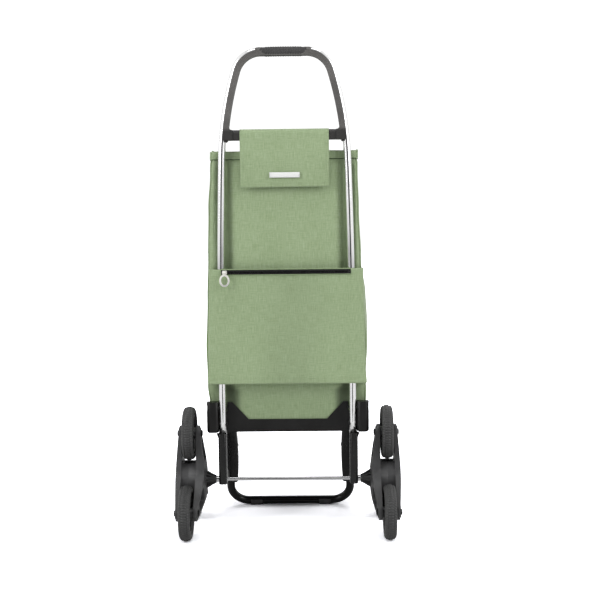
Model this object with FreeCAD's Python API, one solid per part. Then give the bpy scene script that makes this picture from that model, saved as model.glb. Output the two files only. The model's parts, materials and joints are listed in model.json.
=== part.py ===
"""Six-wheeled stair-climbing shopping trolley: aluminium hoop frame, folding tray, fabric bag.

Millimetres. +X is the user's right when standing behind the trolley, +Y points forward, away from
the user, and +Z is up. The floor is Z = 0. Shapes are built with the axle in the plane Y = 0, and
export() moves them so that the origin is under the middle of the whole trolley.
"""

import FreeCAD, Part

import math
import os

V = FreeCAD.Vector
X_AXIS, Y_AXIS, Z_AXIS = V(1, 0, 0), V(0, 1, 0), V(0, 0, 1)
ORIGIN = V(0, 0, 0)

# --- wheels and three-armed stars -----------------------------------------------------------------
WHEEL_R = 58.0
TYRE_W, TYRE_CROWN = 25.0, 9.0
RIM_R = 42.0
RIM_W = 20.0
WHEEL_HUB_R = 12.0
WHEEL_BUSH_R = 6.0
SPOKES = 5
WEB_W, WEB_HOLE_R, WEB_HOLE_AT_R = 4.0, 8.5, 25.5
STAR_R = 102.0  # from the axle to each wheel's centre
AXLE_Z = STAR_R / 2 + WHEEL_R  # two wheels on the floor, one straight above the axle
TRACK_X = 214.3  # middle of each wheel
FORK_GAP = 31.0
DRUM_R = 41.5
TIP_R = 17.0
HUB_R = 40.0
OUTER_HUB_X, OUTER_TIP_X = 243.0, 235.5
INNER_HUB_X, INNER_TIP_X = 178.5, 192.5
DISH_R = STAR_R + TIP_R
DISH_FLAT_R = 30.0
CONE_R, CONE_END_X = 21.0, 157.0
CONE_RIBS, CONE_RIB_W = 8, 2.4
CORE_R = 13.0  # of the cone inside its ribs
POCKET_WALL = 9.0  # what stands round the hollow in each arm
OUTER_POCKET_X, INNER_POCKET_X = 236.0, 194.0  # the floors of those hollows
AXLE_R = 4.0
RUNNING = 0.05  # radial running clearance
BUSH_R = 7.0
CAP_R, CAP_X, CAP_DOME = 10.0, 235.0, 4.0
BUSH_END_X = CAP_X - 1.3
SPACER_R, SPACER_PLAY = 6.5, 0.4
PIN_R = 4.0
PIN_HEAD_R = 7.0
PIN_BOSS_R = 12.0
PIN_SEAT_R = 8.5  # of the flat seats under the bolts' heads and nuts
NUT_R, NUT_H = 7.5, 3.5
STAR_SCREW_AT_R, STAR_SCREW_R = 28.0, 2.0
SCREW_SEAT_X, SCREW_END_X = 192.0, 222.0
PIN_REACH = 2.0  # how far the outer bosses stand out beyond the tips of the arms
NUT_REACH = 3.0  # and the inner ones
VALLEY_R = 26.0  # between the arms
ARM_ANGLES = {"top": 90.0, "rear": 210.0, "front": 330.0}  # in the YZ plane, from +Y

# --- hoop frame and handle ------------------------------------------------------------------------
TUBE_R, TUBE_BORE_R = 8.0, 6.5
TUBE_X = 141.0
TUBE_END_Z = 210.0
LOWER_BEND_Z, LOWER_BEND_R = 385.0, 12200.0  # where the tubes start to lean in, and how gently
UPPER_BEND_Z, UPPER_BEND_R = 803.0, 727.0
SHOULDER_LEAN = 16.8  # degrees, where the upper bend meets the shoulder
TOP_Z = 1027.0  # axis of the hoop's top
ARCH_OVER, ARCH_UNDER, ARCH_UNDER_TOP = 0.5, 11.5, 9.5  # offsets of the insert from the tube's axis
ARCH_Y = 10.0
ARCH_CORNER_R = 6.0
BAR_BOTTOM_Z, BAR_TOP_Z, BAR_R = 841.0, 863.0, 8.0
BAR_WALL, BAR_CROWN = 3.0, 12.0  # of the channel under the crossbar
FOOT_BOSS_R, FOOT_BOSS_IN = 4.5, 7.0  # the round nub at each foot of the insert
HANDLE_SCREW_Z = 847.5
SCREW_R, SCREW_HEAD_R, SCREW_HEAD = 1.8, 3.6, 2.2
GRIP_X, GRIP_WALL = 48.0, 1.2
GRIP_OVER_R, GRIP_UNDER_R = 8.2, 2.2

# --- legs, axle and front foot --------------------------------------------------------------------
LEG_IN_X, LEG_OUT_X = 134.0, 151.5
LEG_REAR_Y, LEG_FRONT_Y = -11.0, 13.0
LEG_BOTTOM_Z = 98.5
LEG_CORNER_R = 5.0
FLARE, FLARE_H = 4.0, 10.0  # the gusset outside the top of each leg
SPIGOT_H = 40.0
FOOT_R, FOOT_BORE_R = 9.5, 8.0
FOOT_X = 139.2
FOOT_Y = 187.0  # the bar on the floor
FOOT_TILT = 24.0
FOOT_CORNER_R = 42.0
FOOT_ARM = 200.0  # from the bar's axis to the top of each arm, along the tilt
PAD_R, PAD_LIFT = 11.5, 10.5
PAD_X, PAD_LENGTH = 80.0, 27.0
SLEEVE_LOW, SLEEVE_HIGH = 62.5, 235.0  # along the tilted foot arm, from the bar's axis
SLEEVE_TOP_Z = TUBE_END_Z
SLEEVE_BULGE_IN_X, SLEEVE_END_IN_X, SLEEVE_OUT_X = 118.0, 122.0, 151.5
SLEEVE_Y, SLEEVE_CORNER_R = 12.5, 5.0
RIVET_R, RIVET_HEAD_R, RIVET_HEAD = 2.0, 3.6, 1.6
RIVET_Z = 232.0
FOOT_RIVET_AT = 160.0  # along the tilt
WEB_IN_X, WEB_OUT_X = 138.0, 143.0
WEB_REAR_Y, WEB_LOW_Z = 5.0, 112.0
WINDOW = [(22, 128), (104, 102), (78, 186), (22, 182)]  # (Y, Z) corners of the opening in the web
WINDOW_R = 9.0

# --- folding tray ---------------------------------------------------------------------------------
TRAY_X, TRAY_WALL = 176.0, 3.0
TRAY_REAR_Y, TRAY_FRONT_Y = 9.5, 237.0
TRAY_BOTTOM_Z, TRAY_FLOOR = 211.0, 3.0
TRAY_EAR_Z, TRAY_SHOULDER_Z, TRAY_FRONT_Z = 278.5, 276.5, 250.0
TRAY_LOW_Z, TRAY_GAP_Z = 238.5, 256.5
EAR_REAR_Y, EAR_IN_X = -7.0, 150.0
TRAY_LOW_X, TRAY_SHOULDER_X, TRAY_GAP_X = 85.5, 121.0, 131.0
TRAY_CORNER_R = 24.0
TRAY_FALL_Y, TRAY_FALLEN_Y = 14.0, 110.0
TRAY_LIP_H = 4.0
PIVOT_Z, PIVOT_R = 266.0, 3.0
PIVOT_HEAD_R, PIVOT_HEAD_X = 6.0, 171.5

# --- bag, pocket, lid and flap --------------------------------------------------------------------
CLOTH, BOARD_H = 3.0, 2.5
BAG_REAR_Y = 13.0
BAG_BOTTOM_Z, BAG_TOP_Z = 214.3, 818.5
BAG_BOTTOM_X, BAG_TOP_X = 172.5, 158.0
BAG_BOTTOM_FRONT_Y, BAG_TOP_FRONT_Y = 233.0, 225.0
BAG_CORNER_R = 22.0
POCKET_X, POCKET_Y = 167.5, -12.5
POCKET_BOTTOM_Z, POCKET_TOP_Z = 319.5, 567.5
POCKET_CLOTH = 2.5
ZIP_X, ZIP_H = 138.5, 11.0
ZIP_Z = POCKET_TOP_Z - 1 - ZIP_H / 2
SLIDER_X = -131.0  # where the zip's slider rests, at the closed end
SLIDER_Y = -13.5
ZIP_BAR_Y, ZIP_BAR_R = -19.6, 0.9
RING_H, RING_W, RING_WIRE, RING_T, RING_DROP = 13.5, 11.0, 4.0, 2.2, 17.0
EYE_R, EYE_X = 2.3, 2.2
FLAP_X, FLAP_BOTTOM_Z, FLAP_CLOTH = 94.5, 741.5, 2.0
FLAP_GAP = 0.4  # between the cloth and the crossbar
STRAP_SEWN_Z = 788.0
LID_X, LID_SKIRT_Z, LID_HINGE_Y, LID_HINGE_Z = 155.0, 731.0, 15.0, 821.0
LID_FRONT_Y, LID_SKIRT, LID_ROLL_R = 230.6, 2.6, 2.0

REAR_REACH_Y = -(STAR_R * math.sin(math.radians(60)) + WHEEL_R)
Y_SHIFT = -(TRAY_FRONT_Y + REAR_REACH_Y) / 2


# --- helpers --------------------------------------------------------------------------------------
def box(x, y, z):
    """A box from three (low, high) pairs."""
    size = [high - low for low, high in (x, y, z)]
    return Part.makeBox(*size, V(x[0], y[0], z[0]))


def rod(radius, start, end):
    return Part.makeCylinder(radius, (end - start).Length, start, end - start)


def rod_x(radius, x0, x1, y, z):
    return rod(radius, V(x0, y, z), V(x1, y, z))


def cone_x(r0, r1, x0, x1, y, z):
    """A cone along X, of radius r0 at x0 and r1 at x1."""
    return Part.makeCone(r0, r1, abs(x1 - x0), V(x0, y, z), V(x1 - x0, 0, 0))


def mirrored(shape):
    """The same piece on the other side of the trolley."""
    return shape.mirror(ORIGIN, X_AXIS)


def face_of(points, plane="XZ"):
    """A flat face from (a, b) corners in the XZ or YZ plane."""
    corners = [V(a, 0, b) if plane == "XZ" else V(0, a, b) for a, b in points]
    return Part.Face(Part.makePolygon([*corners, corners[0]]))


def swept(path, radius):
    """A round bar along a wire."""
    start = path.Edges[0]
    at, along = start.valueAt(start.FirstParameter), start.tangentAt(start.FirstParameter)
    return path.makePipeShell([Part.Wire(Part.makeCircle(radius, at, along))], True, True)


def fused(shapes):
    whole = shapes[0]
    for other in shapes[1:]:
        whole = whole.fuse(other)
    return whole.removeSplitter()


def edges_where(shape, test):
    return [e for e in shape.Edges if test(e)]


def along(edge, axis, low=0.0):
    """True for a straight edge along an axis, longer than low."""
    if not isinstance(edge.Curve, Part.Line):
        return False
    return edge.Length > low and abs(edge.Curve.Direction.dot(axis)) > 0.999


def rounded(shape, radius, test):
    return shape.makeFillet(radius, edges_where(shape, test))


def export(name, shape):
    """Writes one node, as one solid or as a group of separate solids."""
    moved = shape.copy()
    moved.translate(V(0, Y_SHIFT, 0))
    solids = moved.Solids
    whole = solids[0] if len(solids) == 1 else Part.makeCompound(solids)
    bad = [s for s in solids if not s.isValid() or s.Volume <= 0]
    print(f"{name}: {len(solids)} solid(s), {whole.Volume / 1000:.1f} cm3" + (" BAD" if bad else ""))
    whole.exportStep(f"parts/{name}.step")


# --- the hoop -------------------------------------------------------------------------------------
def hoop_arcs(offset, top_z):
    """The bends of the right tube, moved outwards by offset: (centre x, centre z, radius, from, to)."""
    lower_lean = math.asin((UPPER_BEND_Z - LOWER_BEND_Z) / LOWER_BEND_R)
    shoulder_lean = math.radians(SHOULDER_LEAN)
    lower_x = TUBE_X - LOWER_BEND_R
    between = LOWER_BEND_R - UPPER_BEND_R
    upper_x = lower_x + between * math.cos(lower_lean)
    upper_z = LOWER_BEND_Z + between * math.sin(lower_lean)
    upper_r = UPPER_BEND_R + offset
    end_x = upper_x + upper_r * math.cos(shoulder_lean)
    end_z = upper_z + upper_r * math.sin(shoulder_lean)
    shoulder_r = (top_z - end_z) / (1 - math.sin(shoulder_lean))
    shoulder_x = end_x - shoulder_r * math.cos(shoulder_lean)
    return [
        (lower_x, LOWER_BEND_Z, LOWER_BEND_R + offset, 0.0, lower_lean),
        (upper_x, upper_z, upper_r, lower_lean, shoulder_lean),
        (shoulder_x, top_z - shoulder_r, shoulder_r, shoulder_lean, math.pi / 2),
    ]


def hoop_edges(offset, low_z, top_z):
    """The right half of the hoop's line, from low_z up to its middle.

    It rises straight, leans in along a very long bend and a shorter one, and turns over a
    shoulder to the level top.
    """
    edges = []
    for x, z, r, start, end in hoop_arcs(offset, top_z):
        start = max(start, math.asin(max(-1.0, (low_z - z) / r)))
        if start >= end:
            continue
        turns = (start, (start + end) / 2, end)
        edges.append(Part.Arc(*[V(x + r * math.cos(t), 0, z + r * math.sin(t)) for t in turns]).toShape())
    if low_z < LOWER_BEND_Z:
        edges.insert(0, Part.makeLine(V(TUBE_X + offset, 0, low_z), V(TUBE_X + offset, 0, LOWER_BEND_Z)))
    shoulder_x = hoop_arcs(offset, top_z)[-1][0]
    return [*edges, Part.makeLine(V(shoulder_x, 0, top_z), V(0, 0, top_z))]


def hoop_wire(offset, low_z, closed=False, top_z=None):
    """The whole hoop's line. Its top can be nearer to the tube's axis than its sides are."""
    right = hoop_edges(offset, low_z, TOP_Z + offset if top_z is None else top_z)
    left = [mirrored(e) for e in reversed(right)]
    edges = right + left
    if closed:
        foot = right[0].valueAt(right[0].FirstParameter)
        edges.append(Part.makeLine(V(-foot.x, 0, low_z), V(foot.x, 0, low_z)))
    return Part.Wire(Part.__sortEdges__(edges))


def hoop_x(height):
    """Half the distance between the tubes' axes at a height below the shoulders."""
    x, z, r = hoop_arcs(0, TOP_Z)[0 if height < UPPER_BEND_Z else 1][:3]
    return x + math.sqrt(r**2 - max(0.0, height - z) ** 2)


def frame_tube():
    path = hoop_wire(0, TUBE_END_Z)
    tube = swept(path, TUBE_R).cut(swept(path, TUBE_BORE_R))
    for side in (1, -1):
        inboard, outboard = side * (TUBE_X - 2 * TUBE_R), side * (TUBE_X + 2 * TUBE_R)
        tube = tube.cut(rod_x(PIVOT_R, inboard, outboard, 0, PIVOT_Z))
        tube = tube.cut(rod_x(RIVET_R, inboard, side * TUBE_X, 0, RIVET_Z))
        x = side * hoop_x(HANDLE_SCREW_Z)
        tube = tube.cut(rod(SCREW_R, V(x, 0, HANDLE_SCREW_Z), V(x, 2 * TUBE_R, HANDLE_SCREW_Z)))
    return tube


# --- handle ---------------------------------------------------------------------------------------
def handle_arch():
    """The moulded insert that hugs the hoop's inner side, with its crossbar."""
    outer = Part.Face(hoop_wire(ARCH_OVER, BAR_BOTTOM_Z, closed=True))
    inner = Part.Face(hoop_wire(-ARCH_UNDER, BAR_TOP_Z, closed=True, top_z=TOP_Z - ARCH_UNDER_TOP))
    flat = outer.cut(inner)
    flat.translate(V(0, -ARCH_Y, 0))
    body = flat.extrude(V(0, 2 * ARCH_Y, 0))

    def inner_corner(e):
        z = e.CenterOfMass.z
        return along(e, Y_AXIS, ARCH_Y) and abs(z - BAR_TOP_Z) < 0.5

    body = rounded(body, ARCH_CORNER_R, inner_corner)
    # the crossbar is slimmer than the arch, and round on top, where the strap wraps it
    bar_x = hoop_x(BAR_TOP_Z) - ARCH_UNDER - ARCH_CORNER_R - 2
    slim = box((-bar_x, bar_x), (-2 * ARCH_Y, 2 * ARCH_Y), (BAR_BOTTOM_Z - 1, BAR_TOP_Z + 1))
    crown_z = BAR_TOP_Z - BAR_R
    bar = box((-bar_x, bar_x), (-BAR_R, BAR_R), (BAR_BOTTOM_Z, crown_z))
    body = body.cut(slim).fuse(bar).fuse(rod_x(BAR_R, -bar_x, bar_x, 0, crown_z))
    for side in (1, -1):
        x, z, reach = side * (hoop_x(BAR_BOTTOM_Z) - FOOT_BOSS_IN), BAR_BOTTOM_Z + 0.5, ARCH_Y - 2
        body = body.fuse(rod(FOOT_BOSS_R, V(x, -reach, z), V(x, reach, z)))
    # the underside is a channel, so that the walls stay thin enough to mould
    channel_x, channel_y = bar_x - 2 * BAR_WALL, BAR_R - BAR_WALL
    channel_z = (BAR_BOTTOM_Z - 1, BAR_TOP_Z - BAR_CROWN)
    channel = box((-channel_x, channel_x), (-channel_y, channel_y), channel_z)
    body = body.cut(channel).removeSplitter().cut(swept(hoop_wire(0, BAR_BOTTOM_Z - 20), TUBE_R))
    for side in (1, -1):
        x = side * hoop_x(HANDLE_SCREW_Z)
        body = body.cut(rod(SCREW_R, V(x, 0, HANDLE_SCREW_Z), V(x, 2 * ARCH_Y, HANDLE_SCREW_Z)))
    return body


def handle_grip():
    """A soft sleeve round the middle of the top, over both the tube and the insert."""
    low, high = TOP_Z - ARCH_UNDER_TOP - GRIP_WALL, TOP_Z + TUBE_R + GRIP_WALL
    depth = ARCH_Y + GRIP_WALL
    sleeve = box((-GRIP_X, GRIP_X), (-depth, depth), (low, high))
    sleeve = rounded(sleeve, GRIP_OVER_R, lambda e: along(e, X_AXIS) and e.CenterOfMass.z > high - 1)
    sleeve = rounded(sleeve, GRIP_UNDER_R, lambda e: along(e, X_AXIS) and e.CenterOfMass.z < low + 1)
    sleeve = sleeve.cut(swept(hoop_wire(0, BAR_TOP_Z), TUBE_R))
    return sleeve.cut(handle_arch())


def handle_screws():
    screws = []
    for side in (1, -1):
        x = side * hoop_x(HANDLE_SCREW_Z)
        start, face = V(x, TUBE_R / 2, HANDLE_SCREW_Z), V(x, ARCH_Y, HANDLE_SCREW_Z)
        head = rod(SCREW_HEAD_R, face, face + V(0, SCREW_HEAD, 0))
        screws.append(rod(SCREW_R, start, face).fuse(head).removeSplitter())
    return Part.makeCompound(screws)


# --- front foot -----------------------------------------------------------------------------------
def tilted(shape):
    """From the upright plane of the foot's hoop to its place, leaning back from the floor bar."""
    placed = shape.copy()
    placed.rotate(ORIGIN, X_AXIS, FOOT_TILT)
    placed.translate(V(0, FOOT_Y, PAD_LIFT))
    return placed


def foot_wire(top):
    """The foot's line before it is tilted: two arms, two corners and a bar at height 0."""
    x, r = FOOT_X, FOOT_CORNER_R
    k = r * (1 - math.sqrt(0.5))
    edges = [
        Part.makeLine(V(x, 0, top), V(x, 0, r)),
        Part.Arc(V(x, 0, r), V(x - k, 0, k), V(x - r, 0, 0)).toShape(),
        Part.makeLine(V(x - r, 0, 0), V(r - x, 0, 0)),
        Part.Arc(V(r - x, 0, 0), V(k - x, 0, k), V(-x, 0, r)).toShape(),
        Part.makeLine(V(-x, 0, r), V(-x, 0, top)),
    ]
    return Part.Wire(edges)


def foot_tube():
    path = foot_wire(FOOT_ARM)
    tube = swept(path, FOOT_R).cut(swept(path, FOOT_BORE_R))
    for side in (1, -1):
        tube = tube.cut(rod_x(RIVET_R, side * (FOOT_X - 2 * FOOT_R), side * FOOT_X, 0, FOOT_RIVET_AT))
    return tilted(tube)


def foot_pads():
    """Two rubber pads clipped under the floor bar, flat where they stand."""
    pads = []
    clip_z, reach = PAD_LIFT + 3, 2 * PAD_R
    for side in (1, -1):
        x0, x1 = side * PAD_X - PAD_LENGTH / 2, side * PAD_X + PAD_LENGTH / 2
        pad = rod_x(PAD_R, x0, x1, FOOT_Y, PAD_LIFT).cut(rod_x(FOOT_R, x0, x1, FOOT_Y, PAD_LIFT))
        kept = box((x0, x1), (FOOT_Y - reach, FOOT_Y + reach), (0, clip_z))
        pads.append(pad.common(kept))
    return Part.makeCompound(pads)


# --- legs -----------------------------------------------------------------------------------------
def leg_column():
    """The rear column under one tube, with its spigot, and a gusset outside its top."""
    column = box((LEG_IN_X, LEG_OUT_X), (LEG_REAR_Y, LEG_FRONT_Y), (LEG_BOTTOM_Z, TUBE_END_Z))
    column = rounded(column, LEG_CORNER_R, lambda e: along(e, Z_AXIS) and e.CenterOfMass.y < 0)
    column = rounded(column, 2.0, lambda e: e.BoundBox.ZMax < LEG_BOTTOM_Z + 0.01)
    flare_low = TUBE_END_Z - FLARE_H
    outside = [(LEG_OUT_X - 2, flare_low), (LEG_OUT_X, flare_low)]
    flare = face_of([*outside, (LEG_OUT_X + FLARE, TUBE_END_Z), (LEG_OUT_X - 2, TUBE_END_Z)])
    flare.translate(V(0, -TUBE_R / 2, 0))
    flare = flare.extrude(V(0, TUBE_R, 0))
    spigot = rod(TUBE_BORE_R - RUNNING, V(TUBE_X, 0, TUBE_END_Z - 2), V(TUBE_X, 0, TUBE_END_Z + SPIGOT_H))
    return column.fuse(flare).fuse(spigot)


def leg_sleeve():
    """The bulging sleeve that holds one arm of the front foot, before it is tilted."""
    middle = (SLEEVE_LOW + SLEEVE_HIGH) / 2
    low_end, high_end = V(SLEEVE_END_IN_X, 0, SLEEVE_LOW), V(SLEEVE_END_IN_X, 0, SLEEVE_HIGH)
    inner = Part.Arc(low_end, V(SLEEVE_BULGE_IN_X, 0, middle), high_end)
    corners = [high_end, V(SLEEVE_OUT_X, 0, SLEEVE_HIGH), V(SLEEVE_OUT_X, 0, SLEEVE_LOW), low_end]
    outline = Part.Wire([inner.toShape(), *Part.makePolygon(corners).Edges])
    flat = Part.Face(outline)
    flat.translate(V(0, -SLEEVE_Y, 0))
    sleeve = flat.extrude(V(0, 2 * SLEEVE_Y, 0))
    long_edge = (SLEEVE_HIGH - SLEEVE_LOW) / 2

    def long_corner(e):
        return abs(abs(e.CenterOfMass.y) - SLEEVE_Y) < 0.01 and e.Length > long_edge

    return rounded(sleeve, SLEEVE_CORNER_R, long_corner)


def side_plate(points, x0, x1):
    """A plate between two X positions, from its (Y, Z) corners."""
    flat = face_of(points, "YZ")
    flat.translate(V(x0, 0, 0))
    return flat.extrude(V(x1 - x0, 0, 0))


def leg():
    """One moulded side of the chassis, on the right: column, web, sleeve and axle boss."""
    lean = math.radians(FOOT_TILT)
    arm_low_y = FOOT_Y - math.sin(lean) * SLEEVE_LOW
    arm_top_y = FOOT_Y - math.tan(lean) * (SLEEVE_TOP_Z - PAD_LIFT)
    arm_low_z = PAD_LIFT + math.cos(lean) * SLEEVE_LOW
    web = [(WEB_REAR_Y, WEB_LOW_Z), (arm_low_y, arm_low_z)]
    web += [(arm_top_y, SLEEVE_TOP_Z), (WEB_REAR_Y, SLEEVE_TOP_Z)]
    web = side_plate(web, WEB_IN_X, WEB_OUT_X)
    window = rounded(side_plate(WINDOW, WEB_IN_X - 1, WEB_OUT_X + 1), WINDOW_R, lambda e: along(e, X_AXIS))
    whole = leg_column().fuse(web.cut(window)).fuse(tilted(leg_sleeve()))
    # the top is flat under the tray, but not where the column carries the tube
    wide = (LEG_IN_X - 50, LEG_OUT_X + 50)
    whole = whole.cut(box(wide, (LEG_FRONT_Y, FOOT_Y), (SLEEVE_TOP_Z, SLEEVE_TOP_Z + 50))).removeSplitter()
    arm = Part.makeLine(V(FOOT_X, 0, SLEEVE_LOW - 10), V(FOOT_X, 0, FOOT_ARM))
    whole = whole.cut(tilted(swept(Part.Wire([arm]), FOOT_R)))
    whole = whole.cut(rod_x(AXLE_R, LEG_IN_X - 5, LEG_OUT_X + 5, 0, AXLE_Z))
    whole = whole.cut(rod_x(RIVET_R, LEG_IN_X - 5, TUBE_X, 0, RIVET_Z))
    return whole.cut(tilted(rod_x(RIVET_R, SLEEVE_BULGE_IN_X - 5, FOOT_X, 0, FOOT_RIVET_AT)))


def leg_rivets():
    """The rivets that hold the tubes on the legs' spigots, with their heads inboard."""
    face = TUBE_X - TUBE_R
    rivet = rod_x(RIVET_R, face - 0.3, TUBE_X, 0, RIVET_Z)
    head = rod_x(RIVET_HEAD_R, face - RIVET_HEAD, face, 0, RIVET_Z)
    saddle = rod(TUBE_R, V(TUBE_X, 0, RIVET_Z - TUBE_R), V(TUBE_X, 0, RIVET_Z + TUBE_R))
    rivet = head.cut(saddle).fuse(rivet).removeSplitter()
    return Part.makeCompound([rivet, mirrored(rivet)])


def foot_rivets():
    """The rivets through each sleeve into the foot's arms."""
    flat_x = SLEEVE_BULGE_IN_X + 0.4
    rivet = rod_x(RIVET_R, flat_x, FOOT_X, 0, FOOT_RIVET_AT)
    head = rod_x(RIVET_HEAD_R, flat_x - RIVET_HEAD, flat_x + 1, 0, FOOT_RIVET_AT)
    rivet = tilted(head.fuse(rivet)).cut(leg()).removeSplitter()
    return Part.makeCompound([rivet, mirrored(rivet)])


# --- axle -----------------------------------------------------------------------------------------
def axle():
    return rod_x(AXLE_R, -CAP_X, CAP_X, 0, AXLE_Z)


def axle_spacers():
    """The bright rings between each leg and its star."""
    ring = rod_x(SPACER_R, LEG_OUT_X, CONE_END_X - SPACER_PLAY, 0, AXLE_Z).cut(axle())
    return Part.makeCompound([ring, mirrored(ring)])


def axle_caps():
    """Push-on caps that keep the stars on the axle."""
    cap = cone_x(CAP_R, CAP_R - 2, CAP_X - 1, CAP_X + CAP_DOME, 0, AXLE_Z).cut(axle())
    return Part.makeCompound([cap, mirrored(cap)])


# --- stars ----------------------------------------------------------------------------------------
def around_axle(radius, degrees):
    """(y, z) at a radius and angle from the axle."""
    a = math.radians(degrees)
    return radius * math.cos(a), AXLE_Z + radius * math.sin(a)


def star_outline(x0, x1):
    """Three tapering arms, extruded along X, with wide curves between them."""
    arms = []
    lean = math.acos((HUB_R - TIP_R) / STAR_R)
    for angle in ARM_ANGLES.values():
        a = math.radians(angle)
        corners = []
        for reach, radius, side in ((0, HUB_R, 1), (STAR_R, TIP_R, 1), (STAR_R, TIP_R, -1), (0, HUB_R, -1)):
            b = a + side * lean
            y = reach * math.cos(a) + radius * math.cos(b)
            corners.append((y, AXLE_Z + reach * math.sin(a) + radius * math.sin(b)))
        arm = face_of(corners, "YZ")
        arm.translate(V(x0, 0, 0))
        y, z = around_axle(STAR_R, angle)
        arms += [arm.extrude(V(x1 - x0, 0, 0)), rod_x(TIP_R, x0, x1, y, z)]
    whole = fused([rod_x(HUB_R, x0, x1, 0, AXLE_Z), *arms])

    def valley(e):
        c = e.CenterOfMass
        return along(e, X_AXIS) and math.hypot(c.y, c.z - AXLE_Z) < HUB_R + 12

    creases = edges_where(whole, valley)
    return whole.makeFillet(VALLEY_R, creases)


def star_pin_places():
    return [around_axle(STAR_R, a) for a in ARM_ANGLES.values()]


def star_screw_places():
    return [around_axle(STAR_SCREW_AT_R, a + 60) for a in ARM_ANGLES.values()]


def arm_hollows(x0, x1):
    """What is hollowed out of the three arms of a cheek, between two X positions."""
    narrow, near, far = (HUB_R - TIP_R) / STAR_R, DRUM_R + 3, STAR_R - PIN_BOSS_R - 3
    half_near = HUB_R - narrow * near - POCKET_WALL
    half_far = HUB_R - narrow * far - POCKET_WALL
    corners = [(near, -half_near), (far, -half_far), (far, half_far), (near, half_near)]
    hollow = side_plate([(a, AXLE_Z + b) for a, b in corners], x0, x1)
    hollow = rounded(hollow, 4.0, lambda e: along(e, X_AXIS))
    hollows = []
    for angle in ARM_ANGLES.values():
        turned_hollow = hollow.copy()
        turned_hollow.rotate(V(0, 0, AXLE_Z), X_AXIS, angle)
        hollows.append(turned_hollow)
    return Part.makeCompound(hollows)


def star_bores(half):
    """Cuts what passes through a half of the star: bush, pins and joining screws."""
    half = half.cut(rod_x(BUSH_R, CONE_END_X - 5, CAP_X - 1, 0, AXLE_Z))
    for y, z in star_pin_places():
        half = half.cut(rod_x(PIN_R, INNER_HUB_X - 10, OUTER_HUB_X + 10, y, z))
    for y, z in star_screw_places():
        half = half.cut(rod_x(STAR_SCREW_R, SCREW_SEAT_X, SCREW_END_X, y, z))
    return half


def star_outer():
    """The outer half, on the right: a dished cheek and half of the drum between the wheels."""
    gap_x = TRACK_X + FORK_GAP / 2
    dish = cone_x(DISH_R, DISH_FLAT_R, OUTER_TIP_X, OUTER_HUB_X, 0, AXLE_Z)
    block = star_outline(gap_x, OUTER_HUB_X)
    cheek = block.common(fused([rod_x(DISH_R + 5, gap_x, OUTER_TIP_X, 0, AXLE_Z), dish]))
    cheek = cheek.cut(arm_hollows(OUTER_POCKET_X, OUTER_HUB_X + 5))
    bosses = [rod_x(PIN_BOSS_R, gap_x, OUTER_TIP_X + PIN_REACH, y, z) for y, z in star_pin_places()]
    half = fused([cheek, rod_x(DRUM_R, TRACK_X, gap_x + 1, 0, AXLE_Z), *bosses])
    half = half.cut(rod_x(CAP_R + 0.5, BUSH_END_X, OUTER_HUB_X + 5, 0, AXLE_Z))
    for y, z in star_pin_places():
        half = half.cut(rod_x(PIN_SEAT_R, OUTER_TIP_X + PIN_REACH, OUTER_HUB_X + 5, y, z))
    return star_bores(half)


def star_inner():
    """The inner half, on the right: a flared cheek, half of the drum and the ribbed hub cone."""
    gap_x = TRACK_X - FORK_GAP / 2
    dish = cone_x(DISH_R, DISH_FLAT_R, INNER_TIP_X, INNER_HUB_X, 0, AXLE_Z)
    block = star_outline(INNER_HUB_X, gap_x)
    cheek = block.common(fused([rod_x(DISH_R + 5, INNER_TIP_X, gap_x, 0, AXLE_Z), dish]))
    cheek = cheek.cut(arm_hollows(INNER_HUB_X - 5, INNER_POCKET_X))
    bosses = [rod_x(PIN_BOSS_R, INNER_TIP_X - NUT_REACH, gap_x, y, z) for y, z in star_pin_places()]
    start_x, neck_r = INNER_HUB_X + 1, BUSH_R + 1.2
    core = cone_x(CORE_R, neck_r, start_x, CONE_END_X, 0, AXLE_Z)
    half = fused([cheek, rod_x(DRUM_R, gap_x - 1, TRACK_X, 0, AXLE_Z), core, *bosses])
    for n in range(CONE_RIBS):
        profile = [(start_x, BUSH_R + 0.5), (start_x, CONE_R), (CONE_END_X + 8, CONE_R - 9)]
        profile += [(CONE_END_X, neck_r), (CONE_END_X, BUSH_R + 0.5)]
        rib = face_of(profile)
        rib.translate(V(0, -CONE_RIB_W / 2, AXLE_Z))
        rib = rib.extrude(V(0, CONE_RIB_W, 0))
        rib.rotate(V(0, 0, AXLE_Z), X_AXIS, n * 360 / CONE_RIBS)
        half = half.fuse(rib)
    half = half.removeSplitter()
    for y, z in star_screw_places():
        half = half.cut(rod_x(SCREW_HEAD_R + 0.2, INNER_HUB_X - 2, SCREW_SEAT_X, y, z))
    for y, z in star_pin_places():
        half = half.cut(rod_x(PIN_SEAT_R, INNER_HUB_X - 5, INNER_TIP_X - NUT_REACH, y, z))
    return star_bores(half)


def star_bush():
    """The plain bearing on which a star turns."""
    bore = rod_x(AXLE_R + RUNNING, CONE_END_X - 5, BUSH_END_X + 5, 0, AXLE_Z)
    return rod_x(BUSH_R, CONE_END_X, BUSH_END_X, 0, AXLE_Z).cut(bore)


def star_pins():
    """The three wheel bolts, each with a round head outside and a nut inside."""
    pins = []
    for y, z in star_pin_places():
        seat_x, nut_end = OUTER_TIP_X + PIN_REACH, INNER_TIP_X - NUT_REACH
        head = cone_x(PIN_HEAD_R, PIN_HEAD_R - 1.5, seat_x, seat_x + 3, y, z)
        shank = rod_x(PIN_R, nut_end - NUT_H - 0.5, seat_x, y, z)
        angles = [math.radians(60 * n) for n in range(6)]
        corners = [(y + NUT_R * math.cos(a), z + NUT_R * math.sin(a)) for a in angles]
        pins.append(fused([shank, head, side_plate(corners, nut_end - NUT_H, nut_end)]))
    return Part.makeCompound(pins)


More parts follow.
